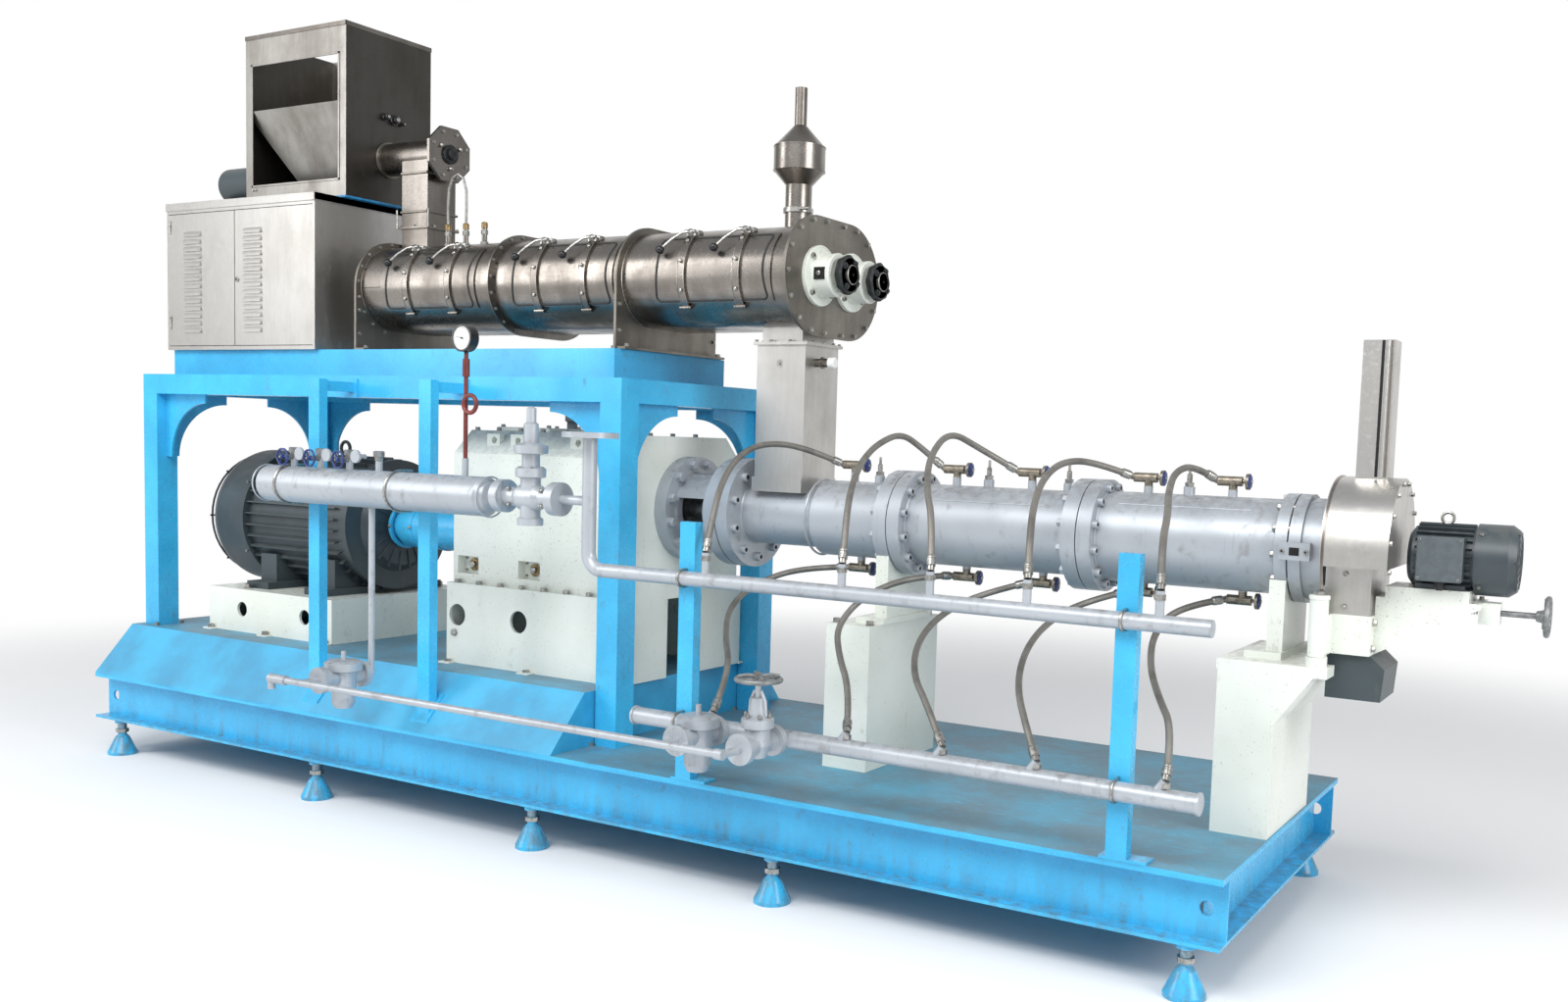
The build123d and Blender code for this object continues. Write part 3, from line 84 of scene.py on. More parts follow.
class Sock:
    """A shader socket that sums can be written with."""

    def __init__(self, tree, socket):
        self.tree = tree
        self.socket = socket

    def sum_of(self, operation, *terms):
        return self.tree.add("ShaderNodeMath", {"operation": operation}, dict(enumerate(terms)))

    __add__, __radd__ = operator_pair("ADD")
    __sub__, __rsub__ = operator_pair("SUBTRACT")
    __mul__, __rmul__ = operator_pair("MULTIPLY")

    def sine_size(self):
        """The sine of the value, without its sign."""
        return self.sum_of("ABSOLUTE", self.sum_of("SINE", self))

    def larger(self, other):
        return self.sum_of("MAXIMUM", self, other)

    def ramp(self, low, high, start=0.0, end=1.0):
        """A smooth step from start to end as the value goes from low to high."""
        return self.tree.add("ShaderNodeMapRange", {"interpolation_type": "SMOOTHSTEP"},
                             {0: self, 1: low, 2: high, 3: start, 4: end})


class Tree:
    """One material's nodes."""

    def __init__(self, name):
        self.material = bpy.data.materials.new(name)
        self.material.use_nodes = True
        self.nodes = self.material.node_tree.nodes
        self.links = self.material.node_tree.links
        self.surface = self.nodes["Principled BSDF"]

    def add(self, kind, settings=None, inputs=None, output=0):
        """A node with its settings, then its inputs, as one of its output sockets."""
        node = self.nodes.new(kind)
        for key, value in (settings or {}).items():
            setattr(node, key, value)
        for key, value in (inputs or {}).items():
            if isinstance(value, Sock):
                self.links.new(value.socket, node.inputs[key])
            else:
                node.inputs[key].default_value = value
        return Sock(self, node.outputs[output])

    def place(self):
        """The point on the surface, in the frame's metres."""
        return self.add("ShaderNodeTexCoord", output="Object")

    def part(self, vector, axis):
        """One of a vector's three parts: 0, 1 or 2."""
        return self.add("ShaderNodeSeparateXYZ", None, {0: vector}, axis)

    def facing(self, axis):
        """How far the surface faces along one axis of the frame."""
        return self.part(self.add("ShaderNodeNewGeometry", output="Normal"), axis)

    def stretch(self, vector, x, y, z):
        return self.add("ShaderNodeVectorMath", {"operation": "MULTIPLY"},
                        {0: vector, 1: (x, y, z)})

    def noise(self, vector, scale, detail=3.0, rough=0.55):
        return self.add("ShaderNodeTexNoise", None,
                        {"Vector": vector, "Scale": scale, "Detail": detail, "Roughness": rough})

    def mix(self, factor, first, second):
        """From the first colour to the second."""
        first = first if isinstance(first, Sock) else (*first, 1.0)
        second = second if isinstance(second, Sock) else (*second, 1.0)
        return self.add("ShaderNodeMix", {"data_type": "RGBA"}, {0: factor, 6: first, 7: second}, 2)

    def bump(self, height, depth):
        return self.add("ShaderNodeBump", None,
                        {"Strength": 1.0, "Distance": depth, "Height": height})

    def finish(self, **values):
        """Sets the surface's inputs and gives the material."""
        for key, value in values.items():
            socket = self.surface.inputs[key.replace("_", " ")]
            if isinstance(value, Sock):
                self.links.new(value.socket, socket)
            elif isinstance(value, tuple):
                socket.default_value = (*value, 1.0)
            else:
                socket.default_value = value
        return self.material


def painted(name, colour, shade, grime, grime_low, rough, chip=None, peel=0.00006, metal=0.0,
            low_dirt=None, streaks=0.0):
    """Sprayed paint with cloudy fading, grime, small chips and dirt near the floor."""
    t = Tree(name)
    p = t.place()
    cloud = t.noise(p, 2.6, 4.0)
    fine = t.noise(p, 34.0, 5.0, 0.62)
    speck = t.noise(p, 150.0, 3.0, 0.6)
    base = t.mix(cloud.ramp(0.35, 0.65), colour, shade)
    smear = t.noise(t.stretch(p, 9.0, 9.0, 1.4), 3.0, 5.0, 0.6)
    dirt = (fine * 0.45 + smear * 0.55).ramp(grime_low, grime_low + 0.16)
    upward = t.facing(2).ramp(0.4, 0.9)
    dirt = dirt * 0.6 + upward * fine.ramp(0.35, 0.6) * 0.45
    base = t.mix(dirt, base, grime)
    if low_dirt is not None:
        low = t.part(p, 2).ramp(0.0, 0.34, 0.55, 0.0)
        base = t.mix(low * smear.ramp(0.4, 0.62), base, low_dirt)
    if chip is not None:
        chips = (speck + cloud * 0.12).ramp(0.735, 0.75)
        base = t.mix(chips, base, chip)
    if streaks:
        run = t.noise(t.stretch(p, 26.0, 26.0, 1.6), 1.0, 4.0, 0.6)
        base = t.mix(run.ramp(0.60, 0.72, 0.0, streaks), base, grime)
    gloss = rough + dirt * 0.28 + (fine - 0.5) * 0.08
    return t.finish(Base_Color=base, Roughness=gloss, Metallic=metal,
                    Normal=t.bump(speck * 0.5 + fine, peel))


def brushed(name, colour, dark, rough, grain, stain, along, shaded_side):
    """Sheet metal with a brushed grain, soft stains and wiped patches, and painted shade on its
    right side where shaded_side is given.
    """
    t = Tree(name)
    p = t.place()
    scale = {"x": (2.0, 90.0, 90.0), "y": (90.0, 2.0, 90.0), "z": (70.0, 70.0, 1.6)}[along]
    lines = t.noise(t.stretch(p, *scale), 6.0, 4.0, 0.65)
    cloud = t.noise(p, 3.1, 5.0, 0.6)
    smear = t.noise(t.stretch(p, 5.0, 5.0, 1.2), 2.2, 5.0, 0.62)
    spots = t.noise(p, 60.0, 4.0, 0.7)
    tone = (cloud * 0.6 + smear * 0.4).ramp(0.38, 0.66)
    base = t.mix(tone * stain, colour, dark)
    base = t.mix((lines - 0.45).ramp(0.0, 0.3, 0.0, 0.28), base, dark)
    base = t.mix(spots.ramp(0.66, 0.76, 0.0, 0.18), base, (0.10, 0.08, 0.06))
    # painted shade: faces that look to the right are darkened towards near black, as the side away
    # from the light
    if shaded_side:
        base = t.mix(t.facing(0).ramp(0.4, 0.9, 0.0, shaded_side), base, (0.030, 0.026, 0.021))
    gloss = rough + lines * 0.14 + tone * 0.12 + spots.ramp(0.5, 0.75, 0.0, 0.12)
    return t.finish(Base_Color=base, Roughness=gloss, Metallic=1.0,
                    Normal=t.bump(lines, grain))


def worn_deck():
    """Blue sides, and a trodden grey-blue top with scuffs and old footmarks."""
    t = Tree("deck_paint")
    p = t.place()
    cloud = t.noise(p, 3.4, 6.0, 0.62)
    scuff = t.noise(t.stretch(p, 1.0, 3.0, 1.0), 18.0, 6.0, 0.68)
    grit = t.noise(p, 190.0, 3.0, 0.6)
    blue = t.mix(cloud.ramp(0.35, 0.7), (0.055, 0.47, 0.78), (0.04, 0.33, 0.58))
    grey = t.mix(cloud.ramp(0.3, 0.62), (0.09, 0.32, 0.46), (0.12, 0.22, 0.28))
    grey = t.mix(scuff.ramp(0.55, 0.7, 0.0, 0.5), grey, (0.20, 0.36, 0.44))
    grey = t.mix(grit.ramp(0.62, 0.75, 0.0, 0.6), grey, (0.07, 0.07, 0.07))
    top = t.facing(2).ramp(0.55, 0.85)
    base = t.mix(top * scuff.ramp(0.22, 0.46), blue, grey)
    gloss = top * 0.16 + 0.32 + scuff * 0.14
    return t.finish(Base_Color=base, Roughness=gloss, Normal=t.bump(scuff + grit * 0.4, 0.0002))


TURNS_ALONG = 150
STRANDS_ROUND = 9


def braid():
    """Woven steel wire over a hose: two sets of crossing strands."""
    t = Tree("hose_braid")
    uv = t.add("ShaderNodeTexCoord", output="UV")
    along = t.part(uv, 0) * (2 * pi * TURNS_ALONG)
    across = t.part(uv, 1) * (2 * pi * STRANDS_ROUND)
    weave = (along + across).sine_size().larger((along - across).sine_size())
    wear = t.noise(t.place(), 9.0, 4.0)
    base = t.mix(weave.ramp(0.3, 0.95), (0.035, 0.035, 0.033), (0.33, 0.31, 0.28))
    base = t.mix(wear.ramp(0.45, 0.65, 0.0, 0.55), base, (0.13, 0.125, 0.115))
    return t.finish(Base_Color=base, Metallic=0.75, Roughness=wear * 0.2 + 0.36,
                    Normal=t.bump(weave, 0.0006))


CASE_BOTTOM = 1.810


def gauge_finish():
    """Black case over a dark red siphon."""
    t = Tree("gauge_finish")
    p = t.place()
    wear = t.noise(p, 40.0, 4.0)
    red = t.mix(wear.ramp(0.35, 0.65), (0.20, 0.030, 0.022), (0.12, 0.020, 0.016))
    base = t.mix(t.part(p, 2).ramp(CASE_BOTTOM, CASE_BOTTOM + 0.004), red, (0.012, 0.012, 0.013))
    return t.finish(Base_Color=base, Roughness=wear * 0.2 + 0.28, Normal=t.bump(wear, 0.0001))


def plain(name, colour, rough, metal=0.0, vary=0.35, grain=0.00008, scale=45.0):
    """A small part's finish, with a little uneven wear."""
    t = Tree(name)
    p = t.place()
    wear = t.noise(p, scale, 5.0, 0.6)
    dark = tuple(c * (1 - vary) for c in colour)
    base = t.mix(wear.ramp(0.35, 0.68), colour, dark)
    return t.finish(Base_Color=base, Metallic=metal, Roughness=wear * 0.22 + (rough - 0.1),
                    Normal=t.bump(wear, grain))


# Name: colour, its fade, grime, where grime starts, roughness, and what some paints add.
PAINTS = {
    "blue_paint": ((0.055, 0.50, 0.84), (0.040, 0.40, 0.70), (0.10, 0.19, 0.23), 0.55, 0.27,
                   {"chip": (0.16, 0.18, 0.18), "low_dirt": (0.13, 0.12, 0.10)}),
    "cream_paint": ((0.80, 0.83, 0.77), (0.74, 0.77, 0.70), (0.40, 0.38, 0.32), 0.57, 0.30,
                    {"chip": (0.30, 0.29, 0.25)}),
    "silver_paint": ((0.47, 0.50, 0.535), (0.41, 0.44, 0.475), (0.24, 0.24, 0.24), 0.53, 0.38,
                     {"metal": 0.35, "peel": 0.0001, "streaks": 0.25}),
    "slate_paint": ((0.050, 0.068, 0.076), (0.036, 0.048, 0.054), (0.12, 0.12, 0.11), 0.56, 0.40,
                    {}),
    "motor_grey": ((0.055, 0.073, 0.083), (0.040, 0.052, 0.060), (0.13, 0.13, 0.12), 0.57, 0.38,
                   {}),
}
# Name: colour, stain colour, roughness, depth of grain, stain, its direction, painted shade on the
# right side.
SHEETS = {
    "stainless": ((0.31, 0.285, 0.26), (0.115, 0.098, 0.082), 0.17, 0.00003, 0.7, "x", 0.0),
    # the hopper's right side is darkened with painted shade
    "hopper_steel": ((0.42, 0.405, 0.38), (0.17, 0.155, 0.135), 0.27, 0.00005, 0.7, "z", 0.78),
    "sheet_steel": ((0.60, 0.585, 0.56), (0.36, 0.34, 0.31), 0.26, 0.00005, 0.5, "z", 0.0),
    "dark_steel": ((0.27, 0.25, 0.22), (0.11, 0.10, 0.085), 0.30, 0.00008, 0.6, "y", 0.0),
}
# Name: colour, roughness, then metal, change of tone, depth and scale of wear where they differ.
PLAIN = {
    "bare_steel": ((0.45, 0.44, 0.42), 0.38, 1.0),
    "bolt_steel": ((0.50, 0.49, 0.46), 0.36, 1.0, 0.45, 0.0001, 90.0),
    "black_bolt": ((0.030, 0.032, 0.034), 0.42, 0.5, 0.4),
    "black_plastic": ((0.012, 0.012, 0.013), 0.28),
    "seal_rubber": ((0.030, 0.029, 0.028), 0.62, 0.0, 0.3, 0.0002),
    # near-black for dark seams and gaps, and painted shade that stands in for holes, sockets, slots
    # and windows
    "dark_hole": ((0.006, 0.006, 0.006), 0.80),
    "knob_blue": ((0.018, 0.045, 0.20), 0.40, 0.0, 0.4, 0.0002, 70.0),
    "brass": ((0.36, 0.25, 0.12), 0.42, 0.9, 0.5, 0.0001, 80.0),
    "cast_black": ((0.022, 0.027, 0.027), 0.46, 0.2, 0.4, 0.0003, 60.0),
    "cast_iron": ((0.30, 0.31, 0.31), 0.50, 0.6, 0.4, 0.0003, 55.0),
    "dial_white": ((0.80, 0.80, 0.77), 0.35, 0.0, 0.06, 0.00002),
    "blue_band": ((0.03, 0.24, 0.50), 0.35, 0.0, 0.3),
    "lid_grey": ((0.10, 0.12, 0.13), 0.36, 0.0, 0.2),
    "valve_brass": ((0.34, 0.30, 0.24), 0.40, 0.85, 0.5, 0.0001, 70.0),
}
FINISHES = {}


def finishes():
    """The materials by name, made once."""
    if not FINISHES:
        FINISHES.update(deck_paint=worn_deck(), red_paint=gauge_finish(), hose_braid=braid())
        chosen = bpy.context.scene.extruder_colours
        for name, (colour, *values, extra) in PAINTS.items():
            FINISHES[name] = painted(name, tuple(getattr(chosen, name, colour)), *values, **extra)
        for name, (colour, *values) in SHEETS.items():
            FINISHES[name] = brushed(name, tuple(getattr(chosen, name, colour)), *values)
        for name, values in PLAIN.items():
            FINISHES[name] = plain(name, *values)
    return FINISHES


# ------------------------------------------------------------------ mesh forms

def square_to(axis):
    """Two directions square to an axis."""
    axis = Vector(axis).normalized()
    side = UP if abs(axis.z) < 0.9 else RIGHT
    u = side.cross(axis).normalized()
    return u, axis.cross(u)


def hoop(place, count, radius, start=0.0, u=BACK, v=UP):
    """Points on a circle, which lies square to the barrel unless u and v say otherwise."""
    place = Vector(place)
    turns = [start + 2 * pi * i / count for i in range(count)]
    return [place + (u * cos(a) + v * sin(a)) * radius for a in turns]


def level_hoop(place, count, radius, start=0.0):
    """Points on a level circle."""
    return hoop(place, count, radius, start, RIGHT, BACK)


def barrel_hoop(x, count, radius, start=0.0):
    """Points on a circle about the barrel's axis."""
    return hoop((x, 0, AXIS_HEIGHT), count, radius, start)


def grid(xs, ys, zs):
    """Every point with these places along each axis."""
    return [Vector((x, y, z)) for x in xs for y in ys for z in zs]


def each(points, form, *sizes):
    """Makes the same form at every point."""
    for point in points:
        form(point, *sizes)


def skin(rows, steps, ends):
    """Faces over rows of points; the last row joins the first unless there are end faces."""
    faces = []
    for k in range(rows - 1 if ends else rows):
        m = (k + 1) % rows
        for i in range(steps):
            j = (i + 1) % steps
            faces.append([k * steps + i, k * steps + j, m * steps + j, m * steps + i])
    if ends:
        last = (rows - 1) * steps
        faces += [list(range(steps))[::-1], [last + i for i in range(steps)]]
    return faces


class Shape:
    """Gathers simple closed forms, in drawing millimetres, into one piece."""

    def __init__(self):
        self.points = []
        self.faces = []
        self.looks = []
        self.used = []

    def join(self, points, faces, look):
        """Takes in a form's points and faces."""
        if look not in self.used:
            self.used.append(look)
        start = len(self.points)
        self.points.extend(points)
        for face in faces:
            self.faces.append([start + i for i in face])
            self.looks.append(self.used.index(look))

    def turned(self, place, axis, profile, look, steps=24, turn=0.0, wave=0.0, waves=0):
        """A turned form: profile is (distance along the axis, radius) from end to end."""
        place = Vector(place)
        axis = Vector(axis).normalized()
        u, v = square_to(axis)
        points = []
        for along, radius in profile:
            for i in range(steps):
                a = 2 * pi * i / steps + turn
                r = radius * (1 + wave * cos(waves * a))
                points.append(place + axis * along + (u * cos(a) + v * sin(a)) * r)
        self.join(points, skin(len(profile), steps, True), look)

    def ring(self, place, axis, inner, outer, low, high, look, steps=48, edge=0.0):
        """A flat ring, closed all round, with a chamfer outside where edge is given."""
        place = Vector(place)
        axis = Vector(axis).normalized()
        rim = [(high, outer - edge), (high - edge, outer)] if edge else [(high, outer)]
        loop = [(low, inner), (high, inner), *rim, (low, outer)]
        points = []
        for along, radius in loop:
            points += hoop(place + axis * along, steps, radius, 0.0, *square_to(axis))
        self.join(points, skin(len(loop), steps, False), look)

    def tube(self, path, radius, look, sides=10, closed=False):
        """A round bar that follows points."""
        path = [Vector(p) for p in path]
        n = len(path)
        points = []
        u = None
        for i, p in enumerate(path):
            before = path[i - 1] if closed or i else path[i]
            after = path[(i + 1) % n] if closed or i < n - 1 else path[i]
            way = (after - before).normalized()
            u = square_to(way)[0] if u is None else (u - way * u.dot(way)).normalized()
            points += hoop(p, sides, radius, 0.0, u, way.cross(u))
        self.join(points, skin(n, sides, not closed), look)

    def prism(self, outline, place, u, v, depth, look):
        """An outline of (u, v) points, thickened by depth along u cross v."""
        place, u, v = Vector(place), Vector(u).normalized(), Vector(v).normalized()
        n = len(outline)
        points = [place + u * a + v * b for a, b in outline]
        points += [p + u.cross(v) * depth for p in points]
        self.join(points, skin(2, n, True), look)

    def ribs(self, place, count, start, inner, outer, half, depth, look, tip=None, skip=()):
        """Flat ribs that stand round a shaft."""
        tip = half if tip is None else tip
        outline = [(inner, -half), (outer, -tip), (outer, tip), (inner, half)]
        for i in range(count):
            if i not in skip:
                a = 2 * pi * (i + start) / count
                self.prism(outline, place, (0, cos(a), sin(a)), (0, -sin(a), cos(a)), depth, look)

    def block(self, low, high, look, edge=1.0):
        """A box with small chamfers on all its edges."""
        ends = Vector(low), Vector(high)
        form = bmesh.new()
        for corner in range(8):
            which = [corner >> k & 1 for k in range(3)]
            point = Vector([ends[which[k]][k] for k in range(3)])
            inward = Vector([-edge if w else edge for w in which])
            for k in range(3):
                q = point + inward
                q[k] = point[k]
                form.verts.new(q)
        bmesh.ops.convex_hull(form, input=form.verts)
        form.verts.index_update()
        self.join([v.co.copy() for v in form.verts],
                  [[v.index for v in f.verts] for f in form.faces], look)
        form.free()

    def ball(self, place, radius, look, steps=16):
        """A ball, with very small flats at its poles."""
        bows = 10
        profile = [(-radius * cos(pi * i / bows), radius * max(0.02, sin(pi * i / bows)))
                   for i in range(bows + 1)]
        self.turned(place, UP, profile, look, steps)

    def hex_bolt(self, place, axis, across, look="bolt_steel"):
        """A washer and a hexagon head on a face."""
        r = across / sqrt(3)
        self.turned(place, axis, [(-1, r * 1.12), (across * 0.10, r * 1.12)], look, 16)
        self.turned(place, axis, [(0, r), (across * 0.62, r), (across * 0.68, r * 0.86)], look, 6)

    def nut_end(self, place, axis, across, look="bolt_steel"):
        """A washer, a nut and the end of its stud."""
        r = across / sqrt(3)
        self.turned(place, axis, [(-1, r * 1.12), (across * 0.10, r * 1.12)], look, 16)
        self.turned(place, axis, [(0, r), (across * 0.72, r), (across * 0.78, r * 0.88)], look, 6)
        self.turned(place, axis, [(0, across * 0.3), (across * 1.05, across * 0.3),
                                  (across * 1.12, across * 0.24)], look, 12)

    def socket_bolt(self, place, axis, radius, look="bolt_steel"):
        """A round head with a hexagon socket."""
        h = radius * 1.15
        self.turned(place, axis, [(-1, radius), (h * 0.9, radius), (h, radius * 0.9),
                                  (h, radius * 0.56)], look, 16)
        # The socket is a thin near-black hexagon on the head: painted shade in place of a recess.
        self.turned(place, axis, [(h - radius * 0.1, radius * 0.55), (h + 0.15, radius * 0.55)],
                    "dark_hole", 6)

    def make(self, name, body):
        """The finished piece, riding on a body."""
        mesh = bpy.data.meshes.new(name)
        mesh.from_pydata([metres(p) for p in self.points], [], self.faces)
        for look in self.used:
            mesh.materials.append(finishes()[look])
        mesh.polygons.foreach_set("material_index", self.looks)
        form = bmesh.new()
        form.from_mesh(mesh)
        bmesh.ops.recalc_face_normals(form, faces=form.faces)
        form.to_mesh(mesh)
        form.free()
        mesh.polygons.foreach_set("use_smooth", [True] * len(mesh.polygons))
        mesh.set_sharp_from_angle(angle=radians(SHARP_FROM))
        piece = bpy.data.objects.new(name, mesh)
        bpy.context.scene.collection.objects.link(piece)
        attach(piece, body)


# ---------------------------------------------------------------- sizes to set

class ExtruderStage(bpy.types.PropertyGroup):
    focal_length: bpy.props.FloatProperty(
        name="Focal length", description="Camera lens in millimetres", default=32.03, min=10.0)
    key_power: bpy.props.FloatProperty(
        name="Key lamp", description="Power of the large lamp over the front", default=470.0,
        min=0.0, unit="POWER")
    fill_power: bpy.props.FloatProperty(
        name="Fill lamp", description="Power of the lamps at both sides", default=190.0, min=0.0,
        unit="POWER")
    world_level: bpy.props.FloatProperty(
        name="World level", description="Strength of the light from all round", default=0.50,
        min=0.0)
    floor_colour: bpy.props.FloatVectorProperty(
        name="Floor colour", description="Colour of the floor and backdrop", subtype="COLOR",
        size=3, default=(0.86, 0.86, 0.86), min=0.0, max=1.0)


class ExtruderSizes(bpy.types.PropertyGroup):
    hose_diameter: bpy.props.FloatProperty(
        name="Hose diameter", description="Outside of the braided hoses, in metres",
        default=0.022, unit="LENGTH", min=0.005)
    flange_bolt: bpy.props.FloatProperty(
        name="Flange bolt", description="Head radius of the barrel's socket bolts, in millimetres",
        default=15.0, min=4.0)
    ball_radius: bpy.props.FloatProperty(
        name="Ball handle", description="Radius of the hatches' ball handles, in millimetres",
        default=17.0, min=5.0)
    dial_radius: bpy.props.FloatProperty(
        name="Dial", description="Radius of the gauge's dial, in millimetres", default=44.0,
        min=10.0)


def colour_of(look, of_what):
    """A colour to set, which starts as its look's own."""
    return bpy.props.FloatVectorProperty(
        name=look.replace("_", " ").capitalize(), description="Colour of " + of_what,
        subtype="COLOR", size=3, default={**PAINTS, **SHEETS}[look][0], min=0.0, max=1.0)


class ExtruderColours(bpy.types.PropertyGroup):
    blue_paint: colour_of("blue_paint", "the skid, table, posts and guard")
    cream_paint: colour_of("cream_paint", "the gearbox, bases, pillars and cutter frame")
    silver_paint: colour_of("silver_paint", "the barrel and steam line")
    slate_paint: colour_of("slate_paint", "the main motor and discharge chute")
    motor_grey: colour_of("motor_grey", "the cutter motor")
    stainless: colour_of("stainless", "the conditioner and its hatches")


# ----------------------------------------------------------------------- stage

def lamp(name, place, aim, size, power):
    """A soft square lamp that looks at a point."""
    data = bpy.data.lights.new(name, "AREA")
    data.shape = "RECTANGLE"
    data.size, data.size_y = size
    data.energy = power
    item = bpy.data.objects.new(name, data)
    bpy.context.scene.collection.objects.link(item)
    item.location = place
    item.rotation_mode = "QUATERNION"
    item.rotation_quaternion = (Vector(aim) - Vector(place)).to_track_quat("-Z", "Y")


PHOTO_WIDTH = 1600
CAMERA_PLACE = (3.296, -4.326, 1.535)
CAMERA_TURN = (29.306, 4.744, 1.943)
BACKDROP_AWAY = 9.0
BACKDROP_BEND = 5.0
BACKDROP_TOP = 18.0
FLOOR_NEAR = -14.0
FLOOR_HALF = 30.0


def backdrop_look(floor_colour):
    """A pale floor that keeps the shadow and grows white towards the backdrop."""
    t = Tree("studio_floor")
    paler = tuple(min(1.0, c * 1.02) for c in floor_colour)
    look = t.finish(Base_Color=t.mix(t.noise(t.place(), 1.3, 3.0), floor_colour, paler),
                    Roughness=0.8)
    p = t.place()
    reach = (t.part(p, 0) * t.part(p, 0) + t.part(p, 1) * t.part(p, 1)).ramp(14.0, 60.0)
    height = t.part(p, 2).ramp(0.2, 2.0)
    camera, glossy, through = [t.add("ShaderNodeLightPath", output=f"Is {ray} Ray")
                               for ray in ("Camera", "Glossy", "Transmission")]
    glow = t.add("ShaderNodeEmission", None, {"Color": (1, 1, 1, 1), "Strength": 1.0})
    blend = t.add("ShaderNodeMixShader", None,
                  {0: (camera + glossy + through) * reach.larger(height),
                   1: Sock(t, t.surface.outputs[0]), 2: glow})
    t.links.new(blend.socket, t.nodes["Material Output"].inputs["Surface"])
    return look


class EXTRUDER_OT_stage(bpy.types.Operator):
    """Camera, floor, backdrop and soft studio lamps"""
    bl_idname = "extruder.stage"
    bl_label = "Stage"

    def execute(self, context):
        sizes = context.scene.extruder_stage
        scene = context.scene
        scene.view_settings.view_transform = "Standard"
        data = bpy.data.cameras.new("camera")
        data.lens = sizes.focal_length
        data.sensor_width = 36.0
        data.shift_x = -110 / PHOTO_WIDTH
        data.shift_y = 60 / PHOTO_WIDTH
        data.clip_end = 200.0
        camera = bpy.data.objects.new("camera", data)
        scene.collection.objects.link(camera)
        yaw, pitch, roll = (radians(a) for a in CAMERA_TURN)
        ahead = Vector((-sin(yaw) * cos(pitch), cos(yaw) * cos(pitch), -sin(pitch)))
        side = Vector((cos(yaw), sin(yaw), 0))
        top = side.cross(ahead)
        across = side * cos(roll) + top * sin(roll)
        upright = top * cos(roll) - side * sin(roll)
        turned = Matrix((across, upright, -ahead)).transposed().to_4x4()
        camera.matrix_world = Matrix.Translation(CAMERA_PLACE) @ turned
        scene.camera = camera

        bend = [radians(9 * i) for i in range(1, 11)]
        rows = [(FLOOR_NEAR, 0.0), (BACKDROP_AWAY, 0.0)]
        rows += [(BACKDROP_AWAY + BACKDROP_BEND * sin(a), BACKDROP_BEND * (1 - cos(a)))
                 for a in bend]
        rows.append((BACKDROP_AWAY + BACKDROP_BEND, BACKDROP_TOP))
        level = Vector((ahead.x, ahead.y, 0)).normalized()
        points = [side * half + level * out + UP * height
                  for out, height in rows for half in (-FLOOR_HALF, FLOOR_HALF)]
        faces = [(2 * i, 2 * i + 1, 2 * i + 3, 2 * i + 2) for i in range(len(rows) - 1)]
        mesh = bpy.data.meshes.new("floor")
        mesh.from_pydata(points, [], faces)
        mesh.polygons.foreach_set("use_smooth", [True] * len(faces))
        mesh.materials.append(backdrop_look(tuple(sizes.floor_colour)))
        floor = bpy.data.objects.new("floor", mesh)
        scene.collection.objects.link(floor)

        world = bpy.data.worlds.new("studio")
        scene.world = world
        world.use_nodes = True
        back = world.node_tree.nodes["Background"]
        back.inputs["Color"].default_value = (0.93, 0.96, 1.0, 1.0)
        back.inputs["Strength"].default_value = sizes.world_level
        lamp("key", (1.0, -5.5, 6.5), (0.0, 0.0, 1.3), (6.0, 3.5), sizes.key_power)
        lamp("fill", (7.0, -1.5, 3.5), (1.0, 0.0, 1.2), (3.0, 3.0), sizes.fill_power)
        lamp("strip", (-5.5, -5.0, 4.2), (-1.0, 0.0, 1.6), (2.2, 4.5), sizes.fill_power)
        return {"FINISHED"}


# ----------------------------------------------------------------------- cords

